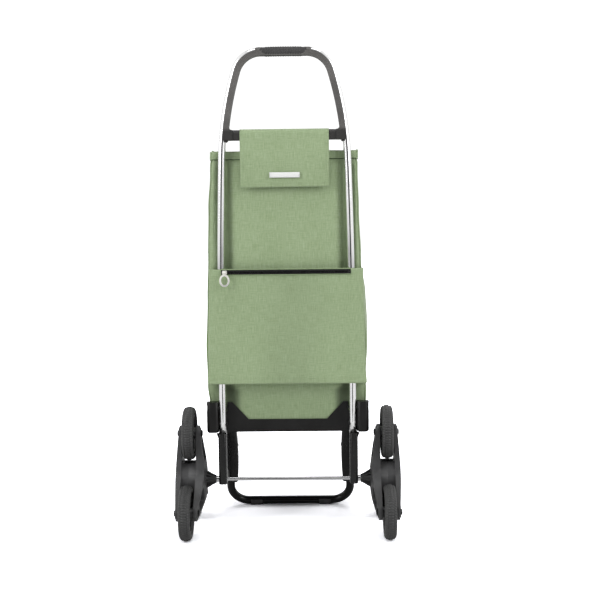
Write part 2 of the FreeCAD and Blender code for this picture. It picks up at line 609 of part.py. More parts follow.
def star_screws():
    screws = []
    for y, z in star_screw_places():
        head = rod_x(SCREW_HEAD_R, SCREW_SEAT_X - 2.5, SCREW_SEAT_X, y, z)
        screws.append(fused([rod_x(STAR_SCREW_R, SCREW_SEAT_X - 1, SCREW_END_X, y, z), head]))
    return Part.makeCompound(screws)


# --- wheels ---------------------------------------------------------------------------------------
def turned(points, y, z):
    """A solid of revolution about the X direction through (y, z), from (x, radius) corners."""
    ring = face_of(points, "XZ").revolve(ORIGIN, X_AXIS, 360)
    ring.translate(V(TRACK_X, y, z))
    return ring


def tyre(y, z):
    """A solid tyre with a rounded tread, seated on the rim between two low flanges."""
    half, shoulder, bead = TYRE_W / 2, WHEEL_R - TYRE_CROWN, 3.0
    crown = Part.Arc(V(-half, 0, shoulder), V(0, 0, WHEEL_R), V(half, 0, shoulder)).toShape()
    corners = [V(half, 0, shoulder), V(half, 0, RIM_R + bead), V(half - bead, 0, RIM_R)]
    corners += [V(bead - half, 0, RIM_R), V(-half, 0, RIM_R + bead), V(-half, 0, shoulder)]
    outline = Part.Wire([crown, *Part.makePolygon(corners).Edges])
    ring = Part.Face(outline).revolve(ORIGIN, X_AXIS, 360)
    ring.translate(V(TRACK_X, y, z))
    return ring


def rim(y, z):
    """A moulded wheel: outer ring, thin web with openings between the spokes, and hub."""
    half = RIM_W / 2
    ring_in = RIM_R - 5
    ring = turned([(-half + 0.5, RIM_R), (half - 0.5, RIM_R), (half, ring_in), (-half, ring_in)], y, z)
    hub_half = FORK_GAP / 2 - 0.6
    hub = rod_x(WHEEL_HUB_R, TRACK_X - hub_half, TRACK_X + hub_half, y, z)
    web = rod_x(ring_in + 1, TRACK_X - WEB_W / 2, TRACK_X + WEB_W / 2, y, z)
    spokes = []
    for n in range(SPOKES):
        hole = rod_x(WEB_HOLE_R, TRACK_X - WEB_W, TRACK_X + WEB_W, y + WEB_HOLE_AT_R, z)
        hole.rotate(V(0, y, z), X_AXIS, (n + 0.5) * 360 / SPOKES)
        web = web.cut(hole)
        reach = (y + WHEEL_HUB_R - 4, y + ring_in + 2)
        spoke = box((TRACK_X - half + 1, TRACK_X + half - 1), reach, (z - WEB_W / 2, z + WEB_W / 2))
        spoke.rotate(V(0, y, z), X_AXIS, n * 360 / SPOKES)
        spokes.append(spoke)
    whole = fused([ring, web, hub, *spokes])
    return whole.cut(rod_x(WHEEL_BUSH_R, TRACK_X - FORK_GAP, TRACK_X + FORK_GAP, y, z))


def wheel_bush(y, z):
    half = FORK_GAP / 2 - 0.3
    outer = rod_x(WHEEL_BUSH_R, TRACK_X - half, TRACK_X + half, y, z)
    return outer.cut(rod_x(PIN_R + RUNNING, TRACK_X - FORK_GAP, TRACK_X + FORK_GAP, y, z))


# --- tray -----------------------------------------------------------------------------------------
def tray():
    """The open tray under the bag, with high rear corners that turn on pins in the tubes."""
    x, wall, low, above = TRAY_X, TRAY_WALL, TRAY_BOTTOM_Z, TRAY_EAR_Z + 20
    rear_in = TRAY_REAR_Y + wall

    def front_corner(e):
        return along(e, Z_AXIS) and e.CenterOfMass.y > rear_in

    outer = box((-x, x), (TRAY_REAR_Y, TRAY_FRONT_Y), (low, TRAY_EAR_Z))
    outer = rounded(outer, TRAY_CORNER_R, front_corner)
    inner = box((wall - x, x - wall), (rear_in, TRAY_FRONT_Y - wall), (low + TRAY_FLOOR, above))
    inner = rounded(inner, TRAY_CORNER_R - wall, front_corner)
    shell = outer.cut(inner)
    # the side walls fall from the rear corners to the front
    slope = [(TRAY_FALL_Y, above), (TRAY_FALL_Y, TRAY_EAR_Z), (TRAY_FALLEN_Y, TRAY_FRONT_Z)]
    slope = face_of([*slope, (TRAY_FRONT_Y + 5, TRAY_FRONT_Z), (TRAY_FRONT_Y + 5, above)], "YZ")
    slope.translate(V(-2 * x, 0, 0))
    shell = shell.cut(slope.extrude(V(4 * x, 0, 0)))
    # the rear wall is low in its middle, with slanting ends, and dips in front of each tube
    low_x, high_x = TRAY_LOW_X, TRAY_SHOULDER_X
    dip = [(low_x, TRAY_LOW_Z), (high_x, TRAY_SHOULDER_Z), (x - 10, TRAY_SHOULDER_Z), (x - 10, above)]
    dip = face_of([*dip, *[(-a, b) for a, b in reversed(dip)]])
    shell = shell.cut(dip.extrude(V(0, rear_in + 0.5, 0)))
    for side in (1, -1):
        x0, x1 = sorted((side * TRAY_GAP_X, side * EAR_IN_X))
        shell = shell.cut(box((x0, x1), (0, rear_in + 0.5), (TRAY_GAP_Z, above)))
    lip = box((-EAR_IN_X + 2, EAR_IN_X - 2), (TRAY_REAR_Y - 1, TRAY_REAR_Y + 1), (low, low + TRAY_LIP_H))
    ear = box((EAR_IN_X, x), (EAR_REAR_Y, rear_in), (low, TRAY_EAR_Z))
    ear = rounded(ear, 8.0, lambda e: along(e, Z_AXIS) and e.CenterOfMass.y < 0)
    ear = rounded(ear, 6.0, lambda e: abs(e.CenterOfMass.z - low) < 0.01 and e.CenterOfMass.x > x - 1)
    ear = ear.cut(rod_x(PIVOT_R + RUNNING, EAR_IN_X - 1, x + 1, 0, PIVOT_Z))
    ear = ear.cut(rod_x(PIVOT_HEAD_R + 0.4, PIVOT_HEAD_X - 0.3, x + 1, 0, PIVOT_Z))
    return fused([shell, lip, ear, mirrored(ear)])


def tray_pins():
    """The pivots of the tray, fixed in the tubes."""
    pin = rod_x(PIVOT_R, TUBE_X - TUBE_R - 2, PIVOT_HEAD_X, 0, PIVOT_Z)
    head = cone_x(PIVOT_HEAD_R, PIVOT_HEAD_R - 1.5, PIVOT_HEAD_X, PIVOT_HEAD_X + 2.5, 0, PIVOT_Z)
    pin = pin.fuse(head).removeSplitter()
    return Part.makeCompound([pin, mirrored(pin)])


def base_board():
    """The stiff board that lies in the bottom of the bag."""
    edge = CLOTH + 4
    x, low = BAG_BOTTOM_X - edge, BAG_BOTTOM_Z + CLOTH + 0.3
    board = box((-x, x), (BAG_REAR_Y + edge, BAG_BOTTOM_FRONT_Y - edge), (low, low + BOARD_H))
    return rounded(board, BAG_CORNER_R - CLOTH, lambda e: along(e, Z_AXIS))


# --- bag ------------------------------------------------------------------------------------------
def rounded_outline(x, y0, y1, r, z):
    """A rounded rectangle at one height, for a loft."""
    k = r * (1 - math.sqrt(0.5))

    def corner(cx, cy, sx, sy):
        a, b, c = V(cx - sx * r, cy, z), V(cx - sx * k, cy - sy * k, z), V(cx, cy - sy * r, z)
        return [a, b, c]

    right_rear, right_front = corner(x, y0, 1, -1), corner(x, y1, 1, 1)
    left_front, left_rear = corner(-x, y1, -1, 1), corner(-x, y0, -1, -1)
    turns = [right_rear, right_front[::-1], left_front, left_rear[::-1]]
    edges = []
    for this, following in zip(turns, turns[1:] + turns[:1]):
        edges.append(Part.Arc(*this).toShape())
        edges.append(Part.makeLine(this[-1], following[0]))
    return Part.Wire(edges)


def bag_loft(inset, low, high):
    def at(z):
        share = (z - BAG_BOTTOM_Z) / (BAG_TOP_Z - BAG_BOTTOM_Z)
        x = BAG_BOTTOM_X + (BAG_TOP_X - BAG_BOTTOM_X) * share - inset
        front = BAG_BOTTOM_FRONT_Y + (BAG_TOP_FRONT_Y - BAG_BOTTOM_FRONT_Y) * share - inset
        return rounded_outline(x, BAG_REAR_Y + inset, front, BAG_CORNER_R - inset, z)

    return Part.makeLoft([at(low), at(high)], True, True)


def bag_body():
    """The bag as an open box of cloth."""
    return bag_loft(0, BAG_BOTTOM_Z, BAG_TOP_Z).cut(bag_loft(CLOTH, BAG_BOTTOM_Z + CLOTH, BAG_TOP_Z + 5))


def rear_pocket():
    """The panel that holds the bag to the tubes and makes a pocket behind it."""
    front, back = POCKET_Y, POCKET_Y + POCKET_CLOTH
    heights = (POCKET_BOTTOM_Z, POCKET_TOP_Z)
    panel = box((-POCKET_X, POCKET_X), (front, back), heights)
    slot_low = ZIP_Z - ZIP_H / 2 - 0.2
    panel = panel.cut(box((-ZIP_X, ZIP_X), (front - 1, back + 1), (slot_low, POCKET_TOP_Z + 5)))
    side = box((POCKET_X - POCKET_CLOTH, POCKET_X), (front, BAG_REAR_Y - 0.3), heights)
    inner_x = TUBE_X - TUBE_R - 3.5
    under = (POCKET_BOTTOM_Z, POCKET_BOTTOM_Z + POCKET_CLOTH)
    bottom = box((-inner_x, inner_x), (front, BAG_REAR_Y - 0.3), under)
    return fused([panel, side, mirrored(side), bottom])


def zip_tape():
    """The closed zip: a flat tape with the row of teeth along its middle."""
    tape_y = POCKET_Y + 0.4
    tape = box((-ZIP_X, ZIP_X), (tape_y, tape_y + 1.5), (ZIP_Z - ZIP_H / 2, ZIP_Z + ZIP_H / 2))
    teeth = box((4 - ZIP_X, ZIP_X - 4), (tape_y - 1, tape_y), (ZIP_Z - 1.5, ZIP_Z + 1.5))
    return tape.fuse(teeth).removeSplitter()


def zip_slider():
    """The slider's body, with the little bar that its pull hangs on."""
    x, z = SLIDER_X, ZIP_Z
    body = box((x - 5, x + 5), (SLIDER_Y - 3.2, SLIDER_Y), (z - 4.2, z + 4.2))
    body = rounded(body, 1.2, lambda e: along(e, Y_AXIS))
    lugs = [
        box((x0, x0 + 1.4), (ZIP_BAR_Y - 1.2, SLIDER_Y - 3), (z - 1.6, z + 1.6)) for x0 in (x - 4, x + 2.6)
    ]
    bar = rod_x(ZIP_BAR_R, x - 3.5, x + 3.5, ZIP_BAR_Y, z)
    return fused([body, bar, *lugs])


def zip_pull():
    """A large oval ring on a short neck."""
    x, z = SLIDER_X, ZIP_Z
    outer = Part.Face(Part.Wire(Part.Ellipse(ORIGIN, RING_H, RING_W).toShape()))
    hole = Part.Face(Part.Wire(Part.Ellipse(ORIGIN, RING_H - RING_WIRE, RING_W - RING_WIRE).toShape()))
    ring = outer.cut(hole).extrude(V(0, 0, RING_T))
    ring.rotate(ORIGIN, Y_AXIS, -90)
    ring.rotate(ORIGIN, Z_AXIS, 90)
    ring.translate(V(x, ZIP_BAR_Y - RING_T / 2, z - RING_DROP) - V(0, ring.BoundBox.YMin, 0))
    eye = rod_x(EYE_R, x - EYE_X, x + EYE_X, ZIP_BAR_Y, z)
    neck_y = (ZIP_BAR_Y - RING_T / 2, ZIP_BAR_Y + RING_T / 2)
    neck = box((x - EYE_X, x + EYE_X), neck_y, (z - RING_DROP + RING_H - 2, z - 1))
    whole = fused([ring, eye, neck])
    return whole.cut(rod_x(ZIP_BAR_R + 0.1, x - 5, x + 5, ZIP_BAR_Y, z))


def strap_radii():
    return BAR_R + FLAP_GAP, BAR_R + FLAP_GAP + FLAP_CLOTH


def bar_wrap():
    """The strap from the bag's rear edge up over the handle's crossbar."""
    z = BAR_TOP_Z - BAR_R
    inner, outer = strap_radii()
    hoop = rod_x(outer, -FLAP_X, FLAP_X, 0, z).cut(rod_x(inner, -FLAP_X, FLAP_X, 0, z))
    hoop = hoop.cut(box((-FLAP_X - 1, FLAP_X + 1), (-2 * outer, 2 * outer), (z - 2 * outer, z)))
    back = box((-FLAP_X, FLAP_X), (inner, outer), (STRAP_SEWN_Z, z))
    seam = box((-FLAP_X, FLAP_X), (outer - 0.5, BAG_REAR_Y), (STRAP_SEWN_Z, BAG_TOP_Z - 2))
    return fused([hoop, back, seam])


def flap():
    """The free end of the strap, which hangs behind the bag and lifts to release it."""
    inner, outer = strap_radii()
    return box((-FLAP_X, FLAP_X), (-outer, -inner), (FLAP_BOTTOM_Z, BAR_TOP_Z - BAR_R - 0.3))


def lid():
    """The cover over the bag's mouth, with its front skirt and rolled rear edge."""
    low, high = LID_HINGE_Z - CLOTH / 2, LID_HINGE_Z + CLOTH / 2
    panel = box((-LID_X, LID_X), (LID_HINGE_Y, LID_FRONT_Y), (low, high))
    skirt = box((-LID_X, LID_X), (LID_FRONT_Y - LID_SKIRT, LID_FRONT_Y), (LID_SKIRT_Z, high))
    roll = rod_x(LID_ROLL_R, -LID_X, LID_X, LID_HINGE_Y, LID_HINGE_Z)
    return fused([panel, skirt, roll])


# --- everything -----------------------------------------------------------------------------------
def build():
    os.makedirs("parts", exist_ok=True)
    for old in os.listdir("parts"):
        os.remove(os.path.join("parts", old))
    for make in (
        frame_tube, handle_arch, handle_grip, handle_screws, leg_rivets, foot_tube, foot_rivets, foot_pads,
        axle, axle_spacers, axle_caps, tray, tray_pins, base_board, bag_body, rear_pocket, zip_tape,
        zip_slider, zip_pull, bar_wrap, flap, lid,
    ):
        export(make.__name__, make())
    for make in (leg, star_outer, star_inner, star_bush, star_pins, star_screws):
        right = make()
        export(f"{make.__name__}_right", right)
        export(f"{make.__name__}_left", mirrored(right))
    for place, angle in ARM_ANGLES.items():
        y, z = around_axle(STAR_R, angle)
        for make in (tyre, rim, wheel_bush):
            right = make(y, z)
            export(f"{make.__name__}_right_{place}", right)
            export(f"{make.__name__}_left_{place}", mirrored(right))


build()
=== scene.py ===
"""A stair-climbing shopping trolley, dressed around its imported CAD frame. Metres, +Z up, +Y forward."""

import json
import math

import bpy
import numpy as np
from mathutils import Matrix, Vector, noise

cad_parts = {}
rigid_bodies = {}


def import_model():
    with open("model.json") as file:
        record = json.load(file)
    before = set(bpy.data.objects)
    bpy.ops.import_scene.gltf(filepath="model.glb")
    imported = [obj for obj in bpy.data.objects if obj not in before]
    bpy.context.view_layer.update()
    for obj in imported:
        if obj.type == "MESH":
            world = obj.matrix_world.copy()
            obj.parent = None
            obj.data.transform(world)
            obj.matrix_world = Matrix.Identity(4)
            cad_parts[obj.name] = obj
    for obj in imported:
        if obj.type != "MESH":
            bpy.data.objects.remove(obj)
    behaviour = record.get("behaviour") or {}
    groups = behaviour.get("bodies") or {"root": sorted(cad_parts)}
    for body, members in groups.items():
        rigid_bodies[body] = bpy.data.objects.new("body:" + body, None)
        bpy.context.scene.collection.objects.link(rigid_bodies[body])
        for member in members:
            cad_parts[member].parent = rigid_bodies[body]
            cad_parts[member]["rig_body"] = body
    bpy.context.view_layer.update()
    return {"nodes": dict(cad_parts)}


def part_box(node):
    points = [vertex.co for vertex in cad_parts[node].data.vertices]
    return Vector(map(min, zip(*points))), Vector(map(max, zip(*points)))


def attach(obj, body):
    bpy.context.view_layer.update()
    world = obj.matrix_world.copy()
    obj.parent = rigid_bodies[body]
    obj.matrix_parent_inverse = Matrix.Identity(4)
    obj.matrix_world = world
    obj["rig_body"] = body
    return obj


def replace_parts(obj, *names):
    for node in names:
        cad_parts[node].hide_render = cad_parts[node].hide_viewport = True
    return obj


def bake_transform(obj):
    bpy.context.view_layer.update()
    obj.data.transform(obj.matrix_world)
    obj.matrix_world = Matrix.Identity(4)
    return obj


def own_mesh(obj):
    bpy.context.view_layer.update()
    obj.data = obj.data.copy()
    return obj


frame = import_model()
NODES = frame["nodes"]

# --- places, all from the frame -------------------------------------------------------------------
TUBE_LOW, TUBE_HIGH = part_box("frame_tube")
BAG_LOW, BAG_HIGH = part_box("bag_body")
POCKET_LOW, POCKET_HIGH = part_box("rear_pocket")
FLAP_LOW, FLAP_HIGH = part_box("flap")
WRAP_LOW, WRAP_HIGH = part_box("bar_wrap")
LID_LOW, LID_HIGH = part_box("lid")
TAPE_LOW, TAPE_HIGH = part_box("zip_tape")
TRAY_LOW, TRAY_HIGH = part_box("tray")
GRIP_LOW, GRIP_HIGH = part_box("handle_grip")
MID_Y = (TUBE_LOW.y + TUBE_HIGH.y) / 2  # the plane of the two tubes and of the axle
TUBE_R = (TUBE_HIGH.y - TUBE_LOW.y) / 2
TUBE_X = TUBE_HIGH.x - TUBE_R
# Each side of the hoop leans in along a very wide bend, then a tighter one, up to its shoulder.
LOWER_BEND_Z, LOWER_BEND_R = 0.385, 12.2
UPPER_BEND_Z, UPPER_BEND_R = 0.803, 0.727
SHOULDER_LEAN = math.radians(16.8)
CLOTH = 0.0016  # the cloth's thickness


# --- materials ------------------------------------------------------------------------------------
def add(tree, kind, inputs=None, **settings):
    """A node with its settings, and with each input linked to a socket or set to a value."""
    made = tree.nodes.new(kind)
    for name, value in settings.items():
        setattr(made, name, value)
    for name, value in (inputs or {}).items():
        if isinstance(value, bpy.types.NodeSocket):
            tree.links.new(value, made.inputs[name])
        else:
            made.inputs[name].default_value = value
    return made


def maths(tree, operation, a, b=0.0):
    return add(tree, "ShaderNodeMath", {0: a, 1: b}, operation=operation).outputs[0]


def mix(tree, share, a, b):
    """A colour between a and b."""
    made = add(tree, "ShaderNodeMix", {0: share, 6: a, 7: b}, data_type="RGBA")
    return made.outputs[2]


def spread(tree, value, low, high, to_low, to_high):
    inputs = {"Value": value, "From Min": low, "From Max": high, "To Min": to_low, "To Max": to_high}
    return add(tree, "ShaderNodeMapRange", inputs).outputs[0]


def speckle(tree, vector, scale, stretch=(1, 1, 1), detail=2.0):
    """Smooth noise, from 0 to 1, that can be stretched along an axis."""
    placed = add(tree, "ShaderNodeMapping", {"Vector": vector, "Scale": stretch}).outputs[0]
    return add(tree, "ShaderNodeTexNoise", {"Vector": placed, "Scale": scale, "Detail": detail}).outputs[0]


def material(name):
    made = bpy.data.materials.new(name)
    made.use_nodes = True
    tree = made.node_tree
    return made, tree, tree.nodes["Principled BSDF"]


def bump(tree, shader, height, distance, strength=1.0):
    made = add(tree, "ShaderNodeBump", {"Height": height, "Distance": distance, "Strength": strength})
    tree.links.new(made.outputs[0], shader.inputs["Normal"])


def grey(value):
    return (value, value, value, 1.0)


def cloth_material(name, dark, light, thread=0.0013, sheen=0.25):
    """Plain-woven mottled cloth, with painted shade where the mesh carries a shade attribute. Its map is in
    metres: u along the weft and v along the warp.
    """
    made, tree, shader = material(name)
    at = add(tree, "ShaderNodeUVMap", uv_map="cloth").outputs[0]
    warp = speckle(tree, at, 1 / thread, (1.0, 0.06, 1.0))
    weft = speckle(tree, at, 1 / thread, (0.06, 1.0, 1.0))
    fleck = speckle(tree, at, 0.35 / thread, detail=3.0)
    cloud = speckle(tree, at, 14.0, (1.0, 0.5, 1.0))
    both = maths(tree, "ADD", maths(tree, "MULTIPLY", warp, 0.42), maths(tree, "MULTIPLY", weft, 0.3))
    both = maths(tree, "ADD", both, maths(tree, "MULTIPLY", fleck, 0.16))
    both = maths(tree, "ADD", both, maths(tree, "MULTIPLY", cloud, 0.12))
    share = spread(tree, both, 0.36, 0.64, 0.0, 1.0)
    colour = mix(tree, share, (*dark, 1.0), (*light, 1.0))
    # painted shade: a deep tone of the cloth mixed in where the mesh's attribute asks for it
    shade_colour = tuple(0.3 * c for c in dark)
    painted_shade = add(tree, "ShaderNodeAttribute", attribute_name="painted_shade").outputs["Fac"]
    tree.links.new(mix(tree, painted_shade, colour, (*shade_colour, 1.0)), shader.inputs["Base Color"])
    place = add(tree, "ShaderNodeSeparateXYZ", {0: at})
    turns = 2 * math.pi / thread
    across = maths(tree, "SINE", maths(tree, "MULTIPLY", place.outputs[0], turns))
    up = maths(tree, "SINE", maths(tree, "MULTIPLY", place.outputs[1], turns))
    weave = maths(tree, "MULTIPLY", across, up)
    relief = maths(tree, "ADD", maths(tree, "MULTIPLY", weave, 0.5), maths(tree, "MULTIPLY", both, 3.0))
    bump(tree, shader, relief, 0.00012, 0.6)
    shader.inputs["Roughness"].default_value = 0.88
    shader.inputs["Sheen Weight"].default_value = sheen
    shader.inputs["Sheen Roughness"].default_value = 0.6
    shader.inputs["Specular IOR Level"].default_value = 0.25
    return made


def plastic_material(name, colour, roughness, grain=0.00003, mottle=0.12, specular=0.5, end=None):
    """Moulded plastic or rubber: fine grain, slightly uneven gloss, and faint rubbing marks.

    end is (axis, dark to here, plain from here), as shares of the piece's own box: painted shade that darkens
    that end.
    """
    made, tree, shader = material(name)
    at = add(tree, "ShaderNodeTexCoord").outputs["Object"]
    fine = speckle(tree, at, 1400.0)
    broad = speckle(tree, at, 22.0, detail=4.0)
    rubbed = speckle(tree, at, 90.0, (1.0, 1.0, 0.15), 3.0)
    lighter = tuple(min(1.0, c * (1 + 2 * mottle) + 0.004) for c in colour)
    darker = tuple(c * (1 - mottle) for c in colour)
    share = spread(tree, broad, 0.3, 0.7, 0.0, 1.0)
    tint = mix(tree, share, (*darker, 1.0), (*lighter, 1.0))
    if end:
        axis, dark_to, plain_from = end
        share_of_box = add(tree, "ShaderNodeTexCoord").outputs["Generated"]
        place = add(tree, "ShaderNodeSeparateXYZ", {0: share_of_box})
        # painted shade: the end darkens towards a deep tone of the plastic's colour
        shade_colour = tuple(0.3 * c for c in colour)
        end_shade = spread(tree, place.outputs[axis], dark_to, plain_from, 1.0, 0.0)
        tint = mix(tree, end_shade, tint, (*shade_colour, 1.0))
    tree.links.new(tint, shader.inputs["Base Color"])
    gloss = spread(tree, rubbed, 0.3, 0.7, roughness - 0.06, roughness + 0.06)
    tree.links.new(gloss, shader.inputs["Roughness"])
    bump(tree, shader, fine, grain, 0.5)
    shader.inputs["Specular IOR Level"].default_value = specular
    return made


def metal_material(name, colour, roughness, grain=(1.0, 1.0, 0.01), depth=0.00001):
    """Polished or drawn metal, with faint marks along its length."""
    made, tree, shader = material(name)
    at = add(tree, "ShaderNodeTexCoord").outputs["Object"]
    drawn = speckle(tree, at, 2500.0, grain, 3.0)
    handled = speckle(tree, at, 35.0, detail=3.0)
    duller = tuple(c * 0.93 for c in colour)
    tree.links.new(mix(tree, handled, (*duller, 1.0), (*colour, 1.0)), shader.inputs["Base Color"])
    gloss = spread(tree, handled, 0.3, 0.7, roughness * 0.8, roughness * 1.25)
    tree.links.new(gloss, shader.inputs["Roughness"])
    bump(tree, shader, drawn, depth, 0.35)
    shader.inputs["Metallic"].default_value = 1.0
    return made


def green_plain():
    """The bag's cloth for cords and welts, mapped by place and not by the cloth's own map."""
    made, tree, shader = material("green_welt")
    at = add(tree, "ShaderNodeTexCoord").outputs["Object"]
    fine = speckle(tree, at, 700.0, (1.0, 1.0, 0.2))
    colour = mix(tree, fine, (0.19, 0.26, 0.135, 1.0), (0.31, 0.395, 0.225, 1.0))
    tree.links.new(colour, shader.inputs["Base Color"])
    bump(tree, shader, fine, 0.0001, 0.5)
    shader.inputs["Roughness"].default_value = 0.88
    shader.inputs["Specular IOR Level"].default_value = 0.25
    return made


GREEN = cloth_material("green_cloth", (0.235, 0.315, 0.165), (0.365, 0.46, 0.275))
GREEN_PLAIN = green_plain()
# painted shadow for the groove under the bag's hem
SEAM_SHADOW = plastic_material("seam_shadow", (0.035, 0.05, 0.025), 0.9, 0.0001, 0.3, 0.1)
LINING = cloth_material("lining", (0.05, 0.05, 0.05), (0.09, 0.09, 0.09), sheen=0.1)
THREAD = cloth_material("stitching", (0.20, 0.27, 0.14), (0.28, 0.36, 0.21), 0.0006)
ZIP_CLOTH = cloth_material("zip_cloth", (0.006, 0.006, 0.006), (0.014, 0.014, 0.014), 0.0007, 0.05)
LABEL = cloth_material("label_cloth", (0.74, 0.75, 0.74), (0.86, 0.87, 0.86), 0.0005, 0.1)
ALUMINIUM = metal_material("polished_aluminium", (0.9, 0.9, 0.9), 0.12, depth=0.000003)
AXLE = metal_material("drawn_steel", (0.60, 0.60, 0.61), 0.2, (0.02, 1.0, 1.0), 0.000002)
STEEL = metal_material("bright_steel", (0.56, 0.56, 0.57), 0.24, (0.02, 1.0, 1.0))
ZIP_METAL = metal_material("zip_metal", (0.95, 0.94, 0.90), 0.5, (1.0, 1.0, 1.0))
HANDLE_LOOK = ((0.105, 0.101, 0.097), 0.5, 0.00004, 0.12, 0.35)
# the handle's lower end is darkened by painted shade
HANDLE_SHADED = plastic_material("handle_plastic", *HANDLE_LOOK, end=(2, 0.12, 0.16))
SHOULDER = plastic_material("shoulder_plastic", *HANDLE_LOOK)
GRIP = plastic_material("grip_rubber", (0.048, 0.047, 0.047), 0.62, 0.00006, specular=0.25)
BLACK = plastic_material("black_plastic", (0.003, 0.003, 0.003), 0.28, specular=0.36)
TRAY = plastic_material("tray_plastic", (0.0055, 0.0053, 0.0052), 0.4, 0.00003, specular=0.28)
STAR_LOOK = ((0.048, 0.048, 0.049), 0.46, 0.00004, 0.12, 0.35)
STAR = plastic_material("star_plastic", *STAR_LOOK)
# the cones at the stars' inner ends are darkened by painted shade
STAR_RIGHT_SHADED = plastic_material("star_plastic_right_shaded", *STAR_LOOK, end=(0, 0.33, 0.42))
STAR_LEFT_SHADED = plastic_material("star_plastic_left_shaded", *STAR_LOOK, end=(0, 0.67, 0.58))
RIM = plastic_material("rim_plastic", (0.022, 0.022, 0.023), 0.42)
TYRE = plastic_material("tyre_rubber", (0.027, 0.027, 0.027), 0.5, 0.00004, specular=0.5)
FOOT = plastic_material("black_lacquer", (0.002, 0.002, 0.002), 0.2, 0.00001, 0.05, 0.28)
BUSH = plastic_material("bush_plastic", (0.45, 0.45, 0.43), 0.4)
BOARD = plastic_material("board", (0.05, 0.045, 0.04), 0.7, 0.0001)


# --- mesh helpers ---------------------------------------------------------------------------------
def mesh_piece(name, verts, faces, finish, body, uvs=None):
    """A smooth mesh that rides on a body. uvs is one (u, v) for each vertex, in metres."""
    mesh = bpy.data.meshes.new(name)
    mesh.from_pydata([tuple(v) for v in verts], [], faces)
    mesh.materials.append(finish)
    mesh.polygons.foreach_set("use_smooth", [True] * len(mesh.polygons))
    if uvs is not None:
        layer = mesh.uv_layers.new(name="cloth")
        for loop in mesh.loops:
            layer.data[loop.index].uv = uvs[loop.vertex_index]
    piece = bpy.data.objects.new(name, mesh)
    bpy.context.scene.collection.objects.link(piece)
    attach(piece, body)
    return piece


def grid_faces(rows, columns, closed=False, skip=None):
    """Quads of a grid whose vertices run along each row in turn."""
    faces = []
    for r in range(rows - 1):
        for c in range(columns if closed else columns - 1):
            if skip and skip(r, c):
                continue
            d = (c + 1) % columns
            faces.append((r * columns + c, r * columns + d, (r + 1) * columns + d, (r + 1) * columns + c))
    return faces


def thicken(piece, thickness, offset=-1.0, inner=None):
    made = piece.modifiers.new("thickness", "SOLIDIFY")
    made.thickness = thickness
    made.offset = offset
    made.use_even_offset = True
    if inner is not None:
        piece.data.materials.append(inner)
        made.material_offset = 1
    return piece


def tube_along(name, points, radius, finish, body, sides=8, closed=False):
    """A round cord of cloth or thread along points."""
    curve = bpy.data.curves.new(name, "CURVE")
    curve.dimensions = "3D"
    curve.bevel_depth = radius
    curve.bevel_resolution = max(1, sides // 4)
    curve.use_fill_caps = True
    spline = curve.splines.new("POLY")
    spline.points.add(len(points) - 1)
    for at, point in zip(spline.points, points):
        at.co = (*point, 1.0)
    spline.use_cyclic_u = closed
    drawn = bpy.data.objects.new(name + "_line", curve)
    bpy.context.scene.collection.objects.link(drawn)
    bpy.context.view_layer.update()
    mesh = bpy.data.meshes.new_from_object(drawn.evaluated_get(bpy.context.evaluated_depsgraph_get()))
    bpy.data.objects.remove(drawn)
    bpy.data.curves.remove(curve)
    mesh.name = name
    mesh.materials.clear()
    mesh.materials.append(finish)
    mesh.polygons.foreach_set("use_smooth", [True] * len(mesh.polygons))
    piece = bpy.data.objects.new(name, mesh)
    bpy.context.scene.collection.objects.link(piece)
    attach(piece, body)
    return piece


def stitches(name, points, finish, body, length=0.0032, gap=0.0014, radius=0.00035):
    """A row of short threads along a line of points, as one mesh."""
    verts, faces, walked, uvs = [], [], 0.0, []
    points = [Vector(p) for p in points]
    for a, b in zip(points, points[1:]):
        run = (b - a).length
        while walked < run:
            start, end = a.lerp(b, walked / run), a.lerp(b, min(1.0, (walked + length) / run))
            axis = (b - a).normalized()
            side = axis.orthogonal().normalized()
            other = axis.cross(side)
            base = len(verts)
            for at, size in ((start, 0.6), (start.lerp(end, 0.5), 1.2), (end, 0.6)):
                for k in range(5):
                    turn = 2 * math.pi * k / 5
                    out = side * math.cos(turn) + other * math.sin(turn)
                    verts.append(at + out * radius * size)
                    uvs.append((at.x + 0.2 * turn * radius, at.z))
            for ring in (0, 5):
                for k in range(5):
                    d = (k + 1) % 5
                    faces.append((base + ring + k, base + ring + d, base + ring + 5 + d, base + ring + 5 + k))
            faces.append(tuple(base + k for k in reversed(range(5))))
            faces.append(tuple(base + 10 + k for k in range(5)))
            walked += length + gap
        walked -= run
    return mesh_piece(name, verts, faces, finish, body, uvs)


def smooth(value, low, high):
    """0 below low, 1 above high, and a smooth rise between."""
    share = min(1.0, max(0.0, (value - low) / (high - low)))
    return share * share * (3 - 2 * share)


def hump(value, low, high):
    """A smooth hump from 0 at low through 1 at the middle to 0 at high."""
    return math.sin(math.pi * min(1.0, max(0.0, (value - low) / (high - low)))) ** 2


# --- CAD nodes that keep their shape --------------------------------------------------------------
def dress(prefix, finish, edge=0.0, segments=2):
    """Gives CAD nodes their material, and rounds their edges a little."""
    for name, piece in NODES.items():
        if not name.startswith(prefix) or piece.hide_render:
            continue
        piece.data.materials.clear()
        piece.data.materials.append(finish)
        if edge:
            weld = piece.modifiers.new("weld", "WELD")
            weld.merge_threshold = 0.00001
            bevel = piece.modifiers.new("bevel", "BEVEL")
            bevel.width = edge
            bevel.segments = segments
            bevel.limit_method = "ANGLE"
            bevel.angle_limit = math.radians(38)
            bevel.harden_normals = True


